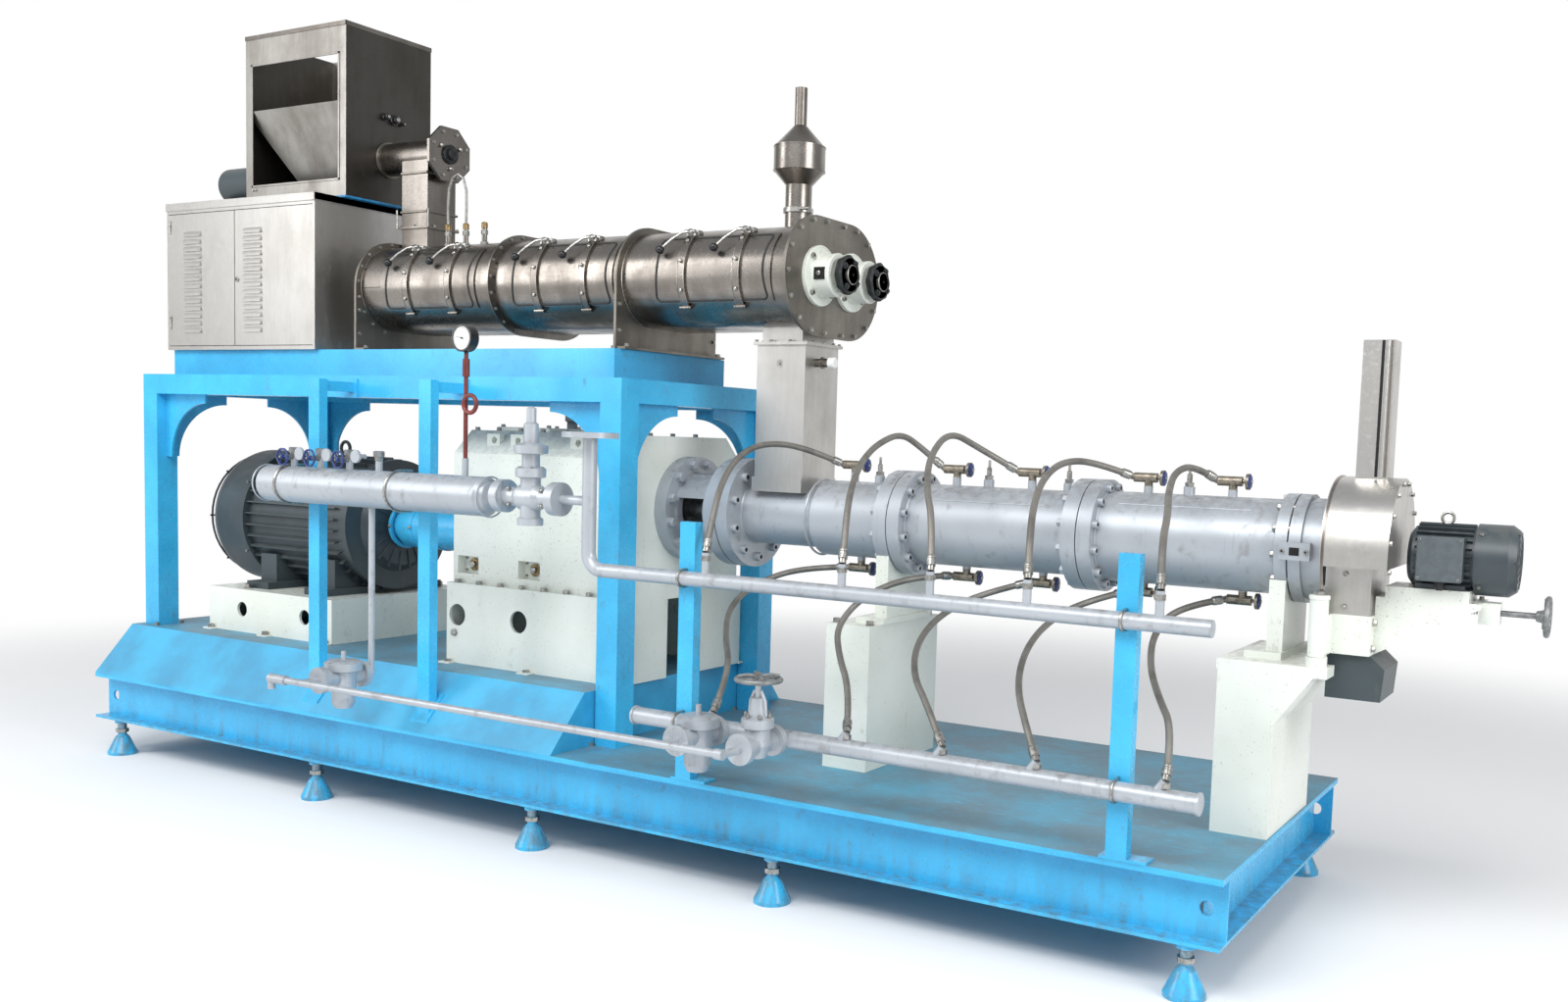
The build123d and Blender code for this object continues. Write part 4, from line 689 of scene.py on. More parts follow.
# Each hose's length in metres, and its route from header to valve or valve to header.
ROUTES = {
    "supply_hose_1": (0.980, [(3490, -766, 1155), (3460, -685, 1297), (3402, -557, 1399),
                              (3362, -408, 1480), (3372, -270, 1524), (3460, -145, 1515),
                              (3550, 0, 1452)]),
    "supply_hose_2": (1.007, [(4022, -766, 1155), (3996, -711, 1263), (3952, -623, 1351),
                              (3910, -521, 1423), (3877, -408, 1484), (3863, -288, 1536),
                              (3882, -164, 1575), (3908, -52, 1524), (3978, 0, 1452)]),
    "supply_hose_3": (1.051, [(4335, -766, 1155), (4295, -688, 1306), (4200, -556, 1396),
                              (4132, -417, 1499), (4121, -257, 1587), (4154, -89, 1531),
                              (4272, 0, 1452)]),
    "supply_hose_4": (0.950, [(4656, -766, 1155), (4621, -683, 1282), (4571, -551, 1367),
                              (4539, -410, 1447), (4542, -255, 1500), (4592, -99, 1498),
                              (4695, 0, 1452)]),
    "supply_hose_5": (0.911, [(5058, -766, 1155), (5026, -678, 1284), (4989, -527, 1353),
                              (4938, -377, 1420), (4907, -226, 1480), (4920, -75, 1500),
                              (4980, 0, 1452)]),
    "return_hose_1": (1.114, [(3590, 0, 1068), (3408, -41, 1056), (3304, -192, 1003),
                              (3304, -368, 928), (3394, -516, 842), (3510, -639, 747),
                              (3538, -770, 624)]),
    "return_hose_2": (1.041, [(4030, 0, 1068), (3950, -140, 1072), (3830, -290, 1008),
                              (3790, -410, 905), (3875, -530, 824), (3995, -650, 736),
                              (4060, -770, 624)]),
    "return_hose_3": (1.084, [(4328, 0, 1068), (4168, -66, 1019), (4098, -229, 954),
                              (4106, -405, 882), (4176, -562, 798), (4301, -684, 723),
                              (4400, -770, 624)]),
    "return_hose_4": (1.034, [(4695, 0, 1068), (4547, -66, 1021), (4484, -222, 954),
                              (4490, -390, 884), (4538, -546, 802), (4627, -684, 723),
                              (4710, -770, 624)]),
    "return_hose_5": (1.003, [(5030, 0, 1068), (4900, -94, 1041), (4869, -246, 967),
                              (4911, -393, 883), (4990, -534, 816), (5083, -667, 749),
                              (5100, -770, 624)]),
}


class EXTRUDER_OT_hoses(bpy.types.Operator):
    """The ten braided steam hoses with their crimped ends"""
    bl_idname = "extruder.hoses"
    bl_label = "Hoses"

    def execute(self, context):
        diameter = context.scene.extruder_sizes.hose_diameter
        ends = Shape()
        for node, (length, route) in ROUTES.items():
            data = bpy.data.curves.new(node + "_braid", "CURVE")
            data.dimensions = "3D"
            data.bevel_depth = diameter / 2
            data.bevel_resolution = 5
            data.resolution_u = 24
            data.use_fill_caps = True
            line = data.splines.new("NURBS")
            line.points.add(len(route) - 1)
            for point, place in zip(line.points, route):
                point.co = (*metres(place), 1.0)
            line.order_u = 3
            line.use_endpoint_u = True
            data.materials.append(finishes()["hose_braid"])
            cord = bpy.data.objects.new(node + "_braid", data)
            context.scene.collection.objects.link(cord)
            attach(cord, "machine")
            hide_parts(node)
            for near, after in ((route[0], route[1]), (route[-1], route[-2])):
                way = Vector(after) - Vector(near)
                ends.turned(near, way, [(2, 12), (20, 12)], "bolt_steel", 6)
                ends.turned(near, way, [(18, 14.6), (48, 14.6), (51, 13.2)], "bolt_steel", 20)
                for groove in (25, 33, 41):
                    ends.ring(near, way, 13.5, 15.2, groove, groove + 4, "bolt_steel", 20)
        ends.make("hose_end_fittings", "machine")
        return {"FINISHED"}


# -------------------------------------------------------------- CAD nodes' looks

# Nodes whose finish isn't the one that their slot is named after.
NODE_LOOKS = {
    "cabinet": "sheet_steel", "hopper": "hopper_steel", "cutter_hood": "sheet_steel",
    "barrel_valves": "valve_brass", "outlet_chute": "sheet_steel",
    "conditioner_plates": "dark_steel", "globe_handwheel": "cast_iron",
    "cutter_handwheel": "cast_iron",
}


class EXTRUDER_OT_finishes(bpy.types.Operator):
    """Puts a worked finish on every CAD piece"""
    bl_idname = "extruder.finishes"
    bl_label = "Finishes"

    def execute(self, context):
        slots = {row["node"]: row["material_slot"] for row in frame["record"]["subparts"]}
        for name, item in frame["nodes"].items():
            for place in item.material_slots:
                place.material = finishes()[NODE_LOOKS.get(name, slots[name])]
        return {"FINISHED"}


# ------------------------------------------------------------- skid and table

FEET = (145, 1480, 2675, 3750, 5165)
FOOT_Y = 704
DECK_TOP = 365
RAISED_TOP = 573
TABLE_TOP = 1863


def foot_parts(s, foot):
    """A foot's upper nut, lower nut and thread, and the ring on its pad."""
    s.turned(foot, UP, [(141, 30), (156.5, 30)], "bolt_steel", 6)
    s.turned(foot, UP, [(100, 27), (116, 27)], "bolt_steel", 6, 0.4)
    for groove in range(118, 140, 4):
        s.ring(foot, UP, 17.0, 19.2, groove, groove + 2, "bolt_steel", 20)
    s.ring(foot, UP, 55, 61.8, 2, 9, "blue_paint", 32, 2)


class EXTRUDER_OT_skid_parts(bpy.types.Operator):
    """Nuts on the levelling feet, and bolts of the table's beams and posts"""
    bl_idname = "extruder.skid_parts"
    bl_label = "Skid and table parts"

    def execute(self, context):
        s = Shape()
        for foot in grid(FEET, (-FOOT_Y, FOOT_Y), (0,)):
            foot_parts(s, foot)
        each(grid((50, 1015, 1930, 2695), (-320, 320), (TABLE_TOP,)), s.hex_bolt, UP, 18)
        for x, top in ((124, RAISED_TOP), (2791, DECK_TOP)):
            each(grid((x,), (-518, -394, 394, 518), (top,)), s.hex_bolt, UP, 20)
        s.make("skid_fasteners", "machine")
        return {"FINISHED"}


# ----------------------------------------------------------------------- drive

MOTOR_AXIS = 1088
PAD_TOP = 579
GEARBOX_SPLIT = 905
GEARBOX_TOP = 1535
COVER_TOP = 1552


def round_screws(s, middle, count, radius, start, across):
    """Screws that point away from a shaft."""
    for screw in hoop(middle, count, radius, start):
        s.hex_bolt(screw, screw - Vector(middle), across)


class EXTRUDER_OT_drive_parts(bpy.types.Operator):
    """Ribs, bolts, eye, bands and plugs on the motor, guard and gearbox"""
    bl_idname = "extruder.drive_parts"
    bl_label = "Drive parts"

    def execute(self, context):
        s = Shape()
        # the motor's end shields, fan cowl, feet and lifting eye
        s.ribs((1188, 0, MOTOR_AXIS), 20, 0.5, 120, 208, 3.5, 9, "slate_paint")
        for radius in range(60, 286, 45):
            s.ring((206, 0, MOTOR_AXIS), RIGHT, radius, radius + 7, -1.5, 5, "slate_paint", 48)
        s.ribs((207, 0, MOTOR_AXIS), 8, 0, 45, 300, 4, 3, "slate_paint")
        round_screws(s, (452, 0, MOTOR_AXIS), 6, 318, 0.5, 12)
        each(grid((560, 1035), (-352, 352), (772,)), s.hex_bolt, UP, 28)
        s.turned((790, 0, 1370), UP, [(0, 26), (22, 26), (26, 22)], "slate_paint", 20)
        s.tube(hoop((790, 0, 1428), 24, 30, 0.0, RIGHT, UP), 8, "slate_paint", 10, True)
        # the guard's bands and its screws
        for x, r in ((1204, 105), (1330, 102), (1470, 102), (1790, 104)):
            s.ring((x, 0, MOTOR_AXIS), RIGHT, 90, r, 0, 14, "blue_paint", 40, 2)
            s.hex_bolt((x + 7, -r + 1, MOTOR_AXIS), FRONT, 12)
        # the gearbox's split joint, inspection plugs, top cover, breather and drain plugs
        for bolt in grid(range(1925, 2800, 118), (-367, 367), (GEARBOX_SPLIT,)):
            s.hex_bolt(bolt, UP, 22)
            s.turned(bolt - UP * 21, -UP, [(0, 12), (14, 12)], "bolt_steel", 6)
        for y in (-350, 350):
            s.block((1884, y - 2, GEARBOX_SPLIT - 2), (2811, y + 2, GEARBOX_SPLIT + 7),
                    "cream_paint")
        for x in (1963, 2300):
            plug = Vector((x, -312, 980))
            s.turned(plug, FRONT, [(0, 25), (5, 25), (6, 22)], "brass", 24)
            s.turned(plug, FRONT, [(5, 15), (17, 15), (20, 12)], "bolt_steel", 6)
            each(grid((x - 44, x + 44), (plug.y,), (956, 1004)), s.socket_bolt, FRONT, 5)
        each(grid(range(1960, 2760, 120), (-300, 222), (GEARBOX_TOP,)), s.hex_bolt, UP, 18)
        s.block((1955, -190, GEARBOX_TOP - 1), (2250, 170, COVER_TOP), "cream_paint", 3)
        each(grid((1975, 2102, 2230), (-172, 150), (COVER_TOP,)), s.hex_bolt, UP, 16)
        s.turned((2200, 0, COVER_TOP - 2), UP, [(0, 22), (30, 22), (34, 30), (58, 30), (64, 24)],
                 "cast_iron", 24)
        for x, z in ((1925, 700), (2770, 640)):
            s.turned((x, -385, z), FRONT, [(-2, 16), (8, 16), (9, 12)], "bolt_steel", 6)
        # foot pads and bolts of the gearbox's base, then of the motor's
        for xs, y, half, seat in (((1905, 2340, 2790), 402, 24, RAISED_TOP),
                                  ((375, 760, 1160), 415, 22, PAD_TOP)):
            for bolt in grid(xs, (-y, y), (seat,)):
                s.block((bolt.x - 30, bolt.y - half, RAISED_TOP - 2),
                        (bolt.x + 30, bolt.y + half, PAD_TOP), "cream_paint")
                s.hex_bolt(bolt, UP, 24)
        # output flange, lantern ring and feed flange
        each(barrel_hoop(2871, 12, 181, pi / 12), s.hex_bolt, RIGHT, 32, "silver_paint")
        each(barrel_hoop(3056, 12, 177), s.hex_bolt, -RIGHT, 24)
        each(barrel_hoop(3164, 10, 172, pi / 10), s.socket_bolt, RIGHT, 17, "silver_paint")
        s.ring((3109, 0, AXIS_HEIGHT), RIGHT, 200, 211.6, -1.5, 1.5, "dark_hole", 96)
        s.make("drive_fittings", "machine")
        return {"FINISHED"}


# ---------------------------------------------------------------------- barrel

# Heights of the needle valves, and their places along the barrel.
VALVES = {1452: (3600, 4028, 4322, 4745, 5030), 1068: (3640, 4080, 4378, 4745, 5080)}
# Faces of the two joints between barrel sections.
JOINTS = ((3790, 3896), (4510, 4616))
# Weld beads where barrels meet their flanges and jackets: place and radius.
WELDS = ((3164, 116.5), (3471, 142), (3788, 142), (3898, 146), (4508, 146), (4618, 153),
         (5212, 153))
# Temperature probes on top: place and height over the barrel's axis.
PROBES = ((3708, 141), (4155, 145), (4460, 145), (4885, 152))
WINDOW_X = 5283


def valve_wheel(s, place):
    """A small ribbed blue wheel over a needle valve's own, and brass on its body."""
    s.turned(place + RIGHT * 42, RIGHT, [(0, 17), (2, 24), (13, 24.5), (16, 19), (16.5, 8)],
             "knob_blue", 48, 0.0, 0.07, 8)
    s.turned(place + RIGHT * 58, RIGHT, [(0, 6), (4, 6), (5, 4)], "bolt_steel", 12)
    s.turned(place + RIGHT * 16, RIGHT, [(0, 12.5), (10, 12.5)], "brass", 6)
    s.turned(place - RIGHT * 30, RIGHT, [(0, 12.6), (12, 12.6)], "brass", 6)


class EXTRUDER_OT_barrel_parts(bpy.types.Operator):
    """Flange bolts, joint lines, welds, probes and valve wheels along the barrel"""
    bl_idname = "extruder.barrel_parts"
    bl_label = "Barrel parts"

    def execute(self, context):
        s = Shape()
        head = context.scene.extruder_sizes.flange_bolt
        for left, right in JOINTS:
            each(barrel_hoop(right, 12, 167, pi / 12), s.socket_bolt, RIGHT, head, "silver_paint")
            each(barrel_hoop(left, 12, 167, pi / 12), s.hex_bolt, -RIGHT, 28, "silver_paint")
            s.ring(((left + right) / 2, 0, AXIS_HEIGHT), RIGHT, 150, 166, -2, 2, "dark_hole", 64)
        each(barrel_hoop(5252, 12, 158, 0.1), s.socket_bolt, RIGHT, 12)
        each(barrel_hoop(5214, 12, 158, 0.1), s.hex_bolt, -RIGHT, 20)
        for x, r in WELDS:
            s.tube(barrel_hoop(x, 64, r), 4.2, "silver_paint", 8, True)
        # long weld lines on the jackets
        for left, right, r, a in ((3960, 4416, 145.5, 2.45), (4680, 5118, 152.5, 2.30)):
            s.tube([barrel_hoop(x, 1, r, a)[0] for x in (left, right)], 2.4, "silver_paint", 6)
        for x, r in PROBES:
            top = Vector((x, 0, AXIS_HEIGHT + r))
            s.turned(top, UP, [(-4, 19), (24, 19), (26, 17)], "silver_paint", 20)
            s.turned(top, UP, [(24, 15), (40, 15)], "bolt_steel", 6)
            s.turned(top, UP, [(38, 9), (66, 9), (70, 5), (92, 5), (94, 3)], "bolt_steel", 14)
        for height, places in VALVES.items():
            for place in grid(places, (0,), (height,)):
                valve_wheel(s, place)
        # bolts of the middle pillar's saddle
        each(grid((3676, 3814), (-222, 222), (888,)), s.hex_bolt, UP, 24)
        # clamp block with its square window at the die, the window a near-black block of painted
        # shade
        s.prism([(-47, -27), (47, -27), (47, 27), (-47, 27)], (WINDOW_X, -166, AXIS_HEIGHT),
                RIGHT, UP, 34, "silver_paint")
        s.block((WINDOW_X - 15, -202, AXIS_HEIGHT - 12),
                (WINDOW_X + 15, -199.5, AXIS_HEIGHT + 12), "dark_hole", 0.5)
        each(grid((WINDOW_X - 36, WINDOW_X + 36), (-200,), (AXIS_HEIGHT,)), s.socket_bolt,
             FRONT, 7)
        s.make("barrel_fittings", "machine")
        return {"FINISHED"}


# ---------------------------------------------------------------------- cutter

SCREW_HEIGHT = 1094
HINGE = Vector((5374, -226, 0))
LOWEST_RIM_BOLT = AXIS_HEIGHT - 60


def spokes(s, circles, radius, look):
    """Round bars that run through circles of points."""
    for spoke in zip(*circles):
        s.tube(spoke, radius, look)


class EXTRUDER_OT_cutter_parts(bpy.types.Operator):
    """Fins, terminal box, clamps, screws and the cast wheel of the cutter"""
    bl_idname = "extruder.cutter_parts"
    bl_label = "Cutter parts"

    def execute(self, context):
        s = Shape()
        # fins all round, but for three over the motor's feet
        s.ribs((5612, 0, AXIS_HEIGHT), 26, 0.5, 88, 104, 1.8, 160, "motor_grey", 1.3,
               range(18, 21))
        s.block((5628, -157, 1186), (5757, -146, 1318), "lid_grey", 3)
        each(grid((5636, 5748), (-156.5,), (1195, 1309)), s.socket_bolt, FRONT, 4)
        s.turned((5692, -112, 1188), -UP, [(0, 17), (9, 17)], "black_plastic", 6)
        s.turned((5692, -112, 1180), -UP, [(0, 13), (16, 13), (22, 10)], "black_plastic", 20)
        s.turned((5690, 0, 1345), UP, [(-8, 13), (8, 13)], "motor_grey", 16)
        s.tube(hoop((5690, 0, 1369), 20, 17, 0.0, RIGHT, UP), 4.5, "bolt_steel", 8, True)
        for radius in (20, 40, 60, 80):
            s.ring((5894, 0, AXIS_HEIGHT), RIGHT, radius, radius + 5, -1, 3, "motor_grey", 40)
        s.ribs((5893.5, 0, AXIS_HEIGHT), 6, 0, 14, 96, 2.5, 2.5, "motor_grey")
        round_screws(s, (5796, 0, AXIS_HEIGHT), 4, 108.9, pi / 4, 9)
        each(grid((5610, 5735), (-72, 72), (1158,)), s.hex_bolt, UP, 15)
        s.make("cutter_motor_parts", "cutter_drive")

        s = Shape()
        each([bolt for bolt in barrel_hoop(5562, 16, 219, pi / 16) if bolt.z > LOWEST_RIM_BOLT],
             s.hex_bolt, RIGHT, 13)
        s.ring((5366, 0, AXIS_HEIGHT), RIGHT, 228, 236, 4, 12, "stainless", 96, 1)
        for side in SIDES:
            each(grid((5430,), (side * 150,), (1090, 1190)), s.hex_bolt, BACK * side, 14)
        s.ring(HINGE, UP, 10, 31, 1115, 1127, "cream_paint", 32, 2)
        s.turned(HINGE + UP * 1125, UP, [(0, 19), (12, 19), (15, 15)], "bolt_steel", 6)
        each(grid((5512,), (-118, 88), (965, 1045)), s.hex_bolt, RIGHT, 18)
        each(grid((5535, 5790), (-82, 82), (1124,)), s.hex_bolt, UP, 14)
        for x in range(5520, 5790, 7):
            s.ring((x, 0, SCREW_HEIGHT), RIGHT, 8.2, 9.9, 0, 3.4, "bolt_steel", 16)
        # upright strips on the front of the hood's stack; the near-black and dark steel ones paint
        # the shade of a folded channel
        for x, look in ((5476, "dark_hole"), (5489, "sheet_steel"), (5502, "dark_steel")):
            s.block((x, -49.3, 1484), (x + 9, -46, 1899), look)
        s.make("cutter_frame_parts", "cutter_group")

        s = Shape()
        s.turned((5953, 0, SCREW_HEIGHT), RIGHT, [(0, 17), (29, 17), (32, 14)], "cast_iron", 24)
        s.turned((5982, 0, SCREW_HEIGHT), RIGHT, [(0, 9), (5, 9), (6.5, 7)], "bolt_steel", 6)
        spokes(s, [hoop((x, 0, SCREW_HEIGHT), 3, r, 0.4)
                   for x, r in ((5972, 12), (5979, 32), (5981, 52))], 6, "cast_iron")
        s.make("cutter_wheel_parts", "cutter_wheel")
        return {"FINISHED"}


# ----------------------------------------------------------------- conditioner

ROUND_Y = -111.0
ROUND_Z = 2140.0
HATCHES = {"hatch_left": 1650, "hatch_middle": 2385, "hatch_right": 3120}
BANDS = (-125, 125)
END_PLATE_FACE = 3482
CHUTE_FLANGE_TOP = 1902
FEED_FLANGE_TOP = 2422
COUPLING_FACE = 3592
# A hatch's seal line: along the trough in millimetres, round it in degrees.
SEAL_HALF = 252
SEAL_CORNER = 18
SEAL_BOW = 10
SEAL_MIDDLE = 8
SEAL_REACH = 33.5
SEAL_BEND = 6
SEAL_RADIUS = 187.5
# The thin steam pipe between two stubs, as places along and up.
ARCH = ((1597, 2408), (1594, 2480), (1600, 2560), (1622, 2606), (1655, 2620), (1686, 2600),
        (1704, 2550), (1706, 2480), (1704, 2408))


def on_round(x, angle, radius):
    """A point on the trough's front round: angle in degrees above the level."""
    return Vector((x, ROUND_Y, ROUND_Z)) + outward(angle) * radius


def outward(angle):
    """The way from the front round's axis at an angle above the level."""
    a = radians(angle)
    return Vector((0, -cos(a), sin(a)))


def seal_line(x):
    """The rounded outline of a hatch's seal, with its two upright sides bowed in."""
    line = []
    for corner, (side, up) in enumerate(((1, 1), (-1, 1), (-1, -1), (1, -1))):
        after_upright = corner % 2 == 0
        if after_upright:
            line += [on_round(x + side * (SEAL_HALF - SEAL_BOW * sin(pi * i / 24)),
                              SEAL_MIDDLE - up * SEAL_REACH * (1 - i / 12), SEAL_RADIUS)
                     for i in range(24)]
        for i in range(7 if after_upright else 6):
            a = pi / 2 * (corner + i / 6)
            line.append(on_round(x + side * (SEAL_HALF - SEAL_CORNER) + SEAL_CORNER * cos(a),
                                 SEAL_MIDDLE + up * SEAL_REACH + SEAL_BEND * sin(a), SEAL_RADIUS))
    return line


def hatch_parts(s, x, ball):
    """A hatch's sunken seal line, its band edges and screws, toggles and ball handles."""
    s.tube(seal_line(x), 4.2, "seal_rubber", 8, True)
    for centre in [x + dx for dx in BANDS]:
        for edge in (-15, 15):
            s.tube([on_round(centre + edge, a, 196) for a in range(-36, 53, 4)], 2.0,
                   "stainless", 6)
        for a in (-18, 14, 40):
            s.turned(on_round(centre, a, 195), outward(a), [(-1, 8), (6, 8), (9, 5)],
                     "bolt_steel", 14)
        foot = on_round(centre, 50, 196)
        way = outward(50)
        s.turned(foot, way, [(-2, 12), (20, 12), (24, 9)], "bolt_steel", 16)
        s.block(foot + Vector((-22, -8, -4)), foot + Vector((22, 10, 14)), "bolt_steel", 2)
        pin = foot + way * 18
        s.turned(pin - RIGHT * 24, RIGHT, [(0, 6), (48, 6)], "bolt_steel", 12)
        grip = on_round(centre - 96, 25, 216)
        s.tube([pin, on_round(centre - 26, 45, 221), on_round(centre - 60, 36, 219), grip], 5.0,
               "bolt_steel")
        s.ball(grip, ball, "black_plastic", 20)


class EXTRUDER_OT_conditioner_parts(bpy.types.Operator):
    """Hatch seals, toggles and handles, end plate bolts, couplings and steam stubs"""
    bl_idname = "extruder.conditioner_parts"
    bl_label = "Conditioner parts"

    def execute(self, context):
        ball = context.scene.extruder_sizes.ball_radius
        for body, x in HATCHES.items():
            s = Shape()
            hatch_parts(s, x, ball)
            s.make(body + "_clamps", body)

        s = Shape()
        # the toggles' catches on the trough
        for x in [middle + dx for middle in HATCHES.values() for dx in BANDS]:
            catch = on_round(x, 61, 184)
            s.block(catch + Vector((-14, -14, -10)), catch + Vector((14, 14, 12)), "bolt_steel", 2)
            s.turned(catch - RIGHT * 20, RIGHT, [(0, 6), (40, 6)], "bolt_steel", 12)
        # bolts round the right end plate
        for a in range(-78, 79, 26):
            bolt = on_round(END_PLATE_FACE, a, 203)
            each(grid((bolt.x,), (bolt.y, -bolt.y), (bolt.z,)), s.hex_bolt, RIGHT, 15)
        each(grid((END_PLATE_FACE,), (-60, 60), (ROUND_Z - 203, ROUND_Z + 203)), s.hex_bolt,
             RIGHT, 15)
        # bearing housings: bolts, slot windows (near-black blocks, painted shade) with a nut in
        # each, and rims
        for y in (ROUND_Y, -ROUND_Y):
            each(hoop((3496, y, ROUND_Z), 4, 94, pi / 4), s.socket_bolt, RIGHT, 10)
            s.ring((END_PLATE_FACE, y, ROUND_Z), RIGHT, 104, 110, 0, 16, "cream_paint", 64, 2)
            s.block((3512, y - 80, ROUND_Z - 22), (3558, y - 68, ROUND_Z + 22), "dark_hole")
            s.turned((3535, y - 79, ROUND_Z), FRONT, [(0, 9), (7, 9), (8, 7)], "bolt_steel", 6)
            s.ring((3560, y, ROUND_Z), RIGHT, 60, 79, 0, 14, "cream_paint", 48, 2)
        # bolts of the middle ring, the left end plate and the supports
        each([on_round(x, a, 196) for x in (2026, 1244) for a in range(-74, 87, 20)],
             s.hex_bolt, RIGHT, 11)
        s.ring((2018, ROUND_Y, ROUND_Z), RIGHT, 183, 186, -12, -1, "stainless", 96)
        each(grid((1244, 2702), (-300, 300), (1935, 2035)), s.hex_bolt, RIGHT, 13)
        each(grid((1276, 2734), (-292, 292), (1873,)), s.hex_bolt, UP, 18)
        # shell seams
        for x in (1246, 2688, 2704, 3466):
            s.tube([on_round(x, a, 182.5) for a in range(-84, 91, 6)], 2.5, "stainless", 6)
        s.tube([(1246, -294, 2132), (1380, -294, 2132)], 1.6, "stainless", 6)
        # steam stubs, their caps, and the thin arch between two of them
        for x in (1597, 1704, 1813):
            s.turned((x, -130, 2318), UP, [(-8, 17), (10, 17), (13, 13)], "bolt_steel", 6)
            s.turned((x, -130, 2360), UP, [(0, 15), (18, 15)], "bolt_steel", 6)
            s.turned((x, -130, 2386), UP, [(0, 13), (22, 13), (25, 9)], "brass", 16)
        s.tube([(x, -130, z) for x, z in ARCH], 5.5, "bare_steel")
        # vent: clamp with its screw, foot ring and bands
        vent = Vector((3312, 0, 0))
        s.ring(vent, UP, 49, 57, 2392, 2410, "bolt_steel", 40, 1)
        s.turned(vent + Vector((40, -48, 2401)), RIGHT, [(0, 6), (38, 6)], "bolt_steel", 12)
        s.ring(vent, UP, 49, 70, 2322, 2330, "stainless", 40, 1)
        for low in (2546, 2634):
            s.ring(vent, UP, 95, 98.6, low, low + 5, "stainless", 64)
        # outlet chute: flange bolts, sample port with its white cap, and latch
        each(grid((3222, 3287, 3373, 3438), (-121, 121), (CHUTE_FLANGE_TOP,)), s.hex_bolt, UP, 11)
        each(grid((3216, 3444), (-70, 0, 70), (CHUTE_FLANGE_TOP,)), s.hex_bolt, UP, 11)
        s.turned((3438, -40, 1828), RIGHT,
                 [(-3, 16), (26, 16), (27, 22), (33, 22), (34, 16), (60, 16)], "stainless", 24)
        s.turned((3498, -40, 1828), RIGHT, [(0, 21), (22, 21), (26, 17)], "dial_white", 24)
        s.turned((3322, -115, 1822), FRONT, [(-1, 5), (8, 5), (10, 3)], "bolt_steel", 12)
        s.tube([(3322, -122, 1834), (3322, -124, 1812)], 3, "bolt_steel", 8)
        # feed chute's flange bolts
        each(grid((1249, 1335, 1421), (-86, 86), (FEED_FLANGE_TOP,)), s.hex_bolt, UP, 11)
        each(grid((1421,), (-45, 45), (FEED_FLANGE_TOP,)), s.hex_bolt, UP, 11)
        s.make("conditioner_fittings", "machine")

        for body, y in (("front_shaft", ROUND_Y), ("rear_shaft", -ROUND_Y)):
            s = Shape()
            hub = Vector((COUPLING_FACE, y, ROUND_Z))
            s.turned(hub, RIGHT, [(2, 66), (16, 70), (24, 70), (28, 64)], "cast_black", 72, 0.0,
                     0.035, 8)
            s.turned(hub, RIGHT, [(26, 36), (38, 36), (40, 33)], "bare_steel", 32)
            # the shaft end's centre hole is a near-black disc, painted shade
            s.turned(hub + RIGHT * 39.6, RIGHT, [(0, 5), (1.2, 4)], "dark_hole", 16)
            for bolt in hoop(hub, 4, 51, pi / 4 + 0.2):
                s.turned(bolt + RIGHT * 26, RIGHT, [(-2, 13), (8, 13), (10, 10)], "cast_black", 6)
                s.turned(bolt + RIGHT * 34, RIGHT, [(0, 7), (5.5, 7)], "black_bolt", 12)
            s.make(body + "_coupling", body)
        return {"FINISHED"}


# --------------------------------------------------------------------- feeding

CABINET_FACE = -372.0
FEEDER_END = Vector((1464, 0, 2740))
FAN_COWL = Vector((64, -60, 2670))


def square_band(s, low, high, wide, look):
    """Flat bars round a square, wide across each bar."""
    (left, front, bottom), (right, back, top) = low, high
    for x1, y1, x2, y2 in ((left, front, right, front + wide), (left, back - wide, right, back),
                           (left, front, left + wide, back), (right - wide, front, right, back)):
        s.block((x1, y1, bottom), (x2, y2, top), look)


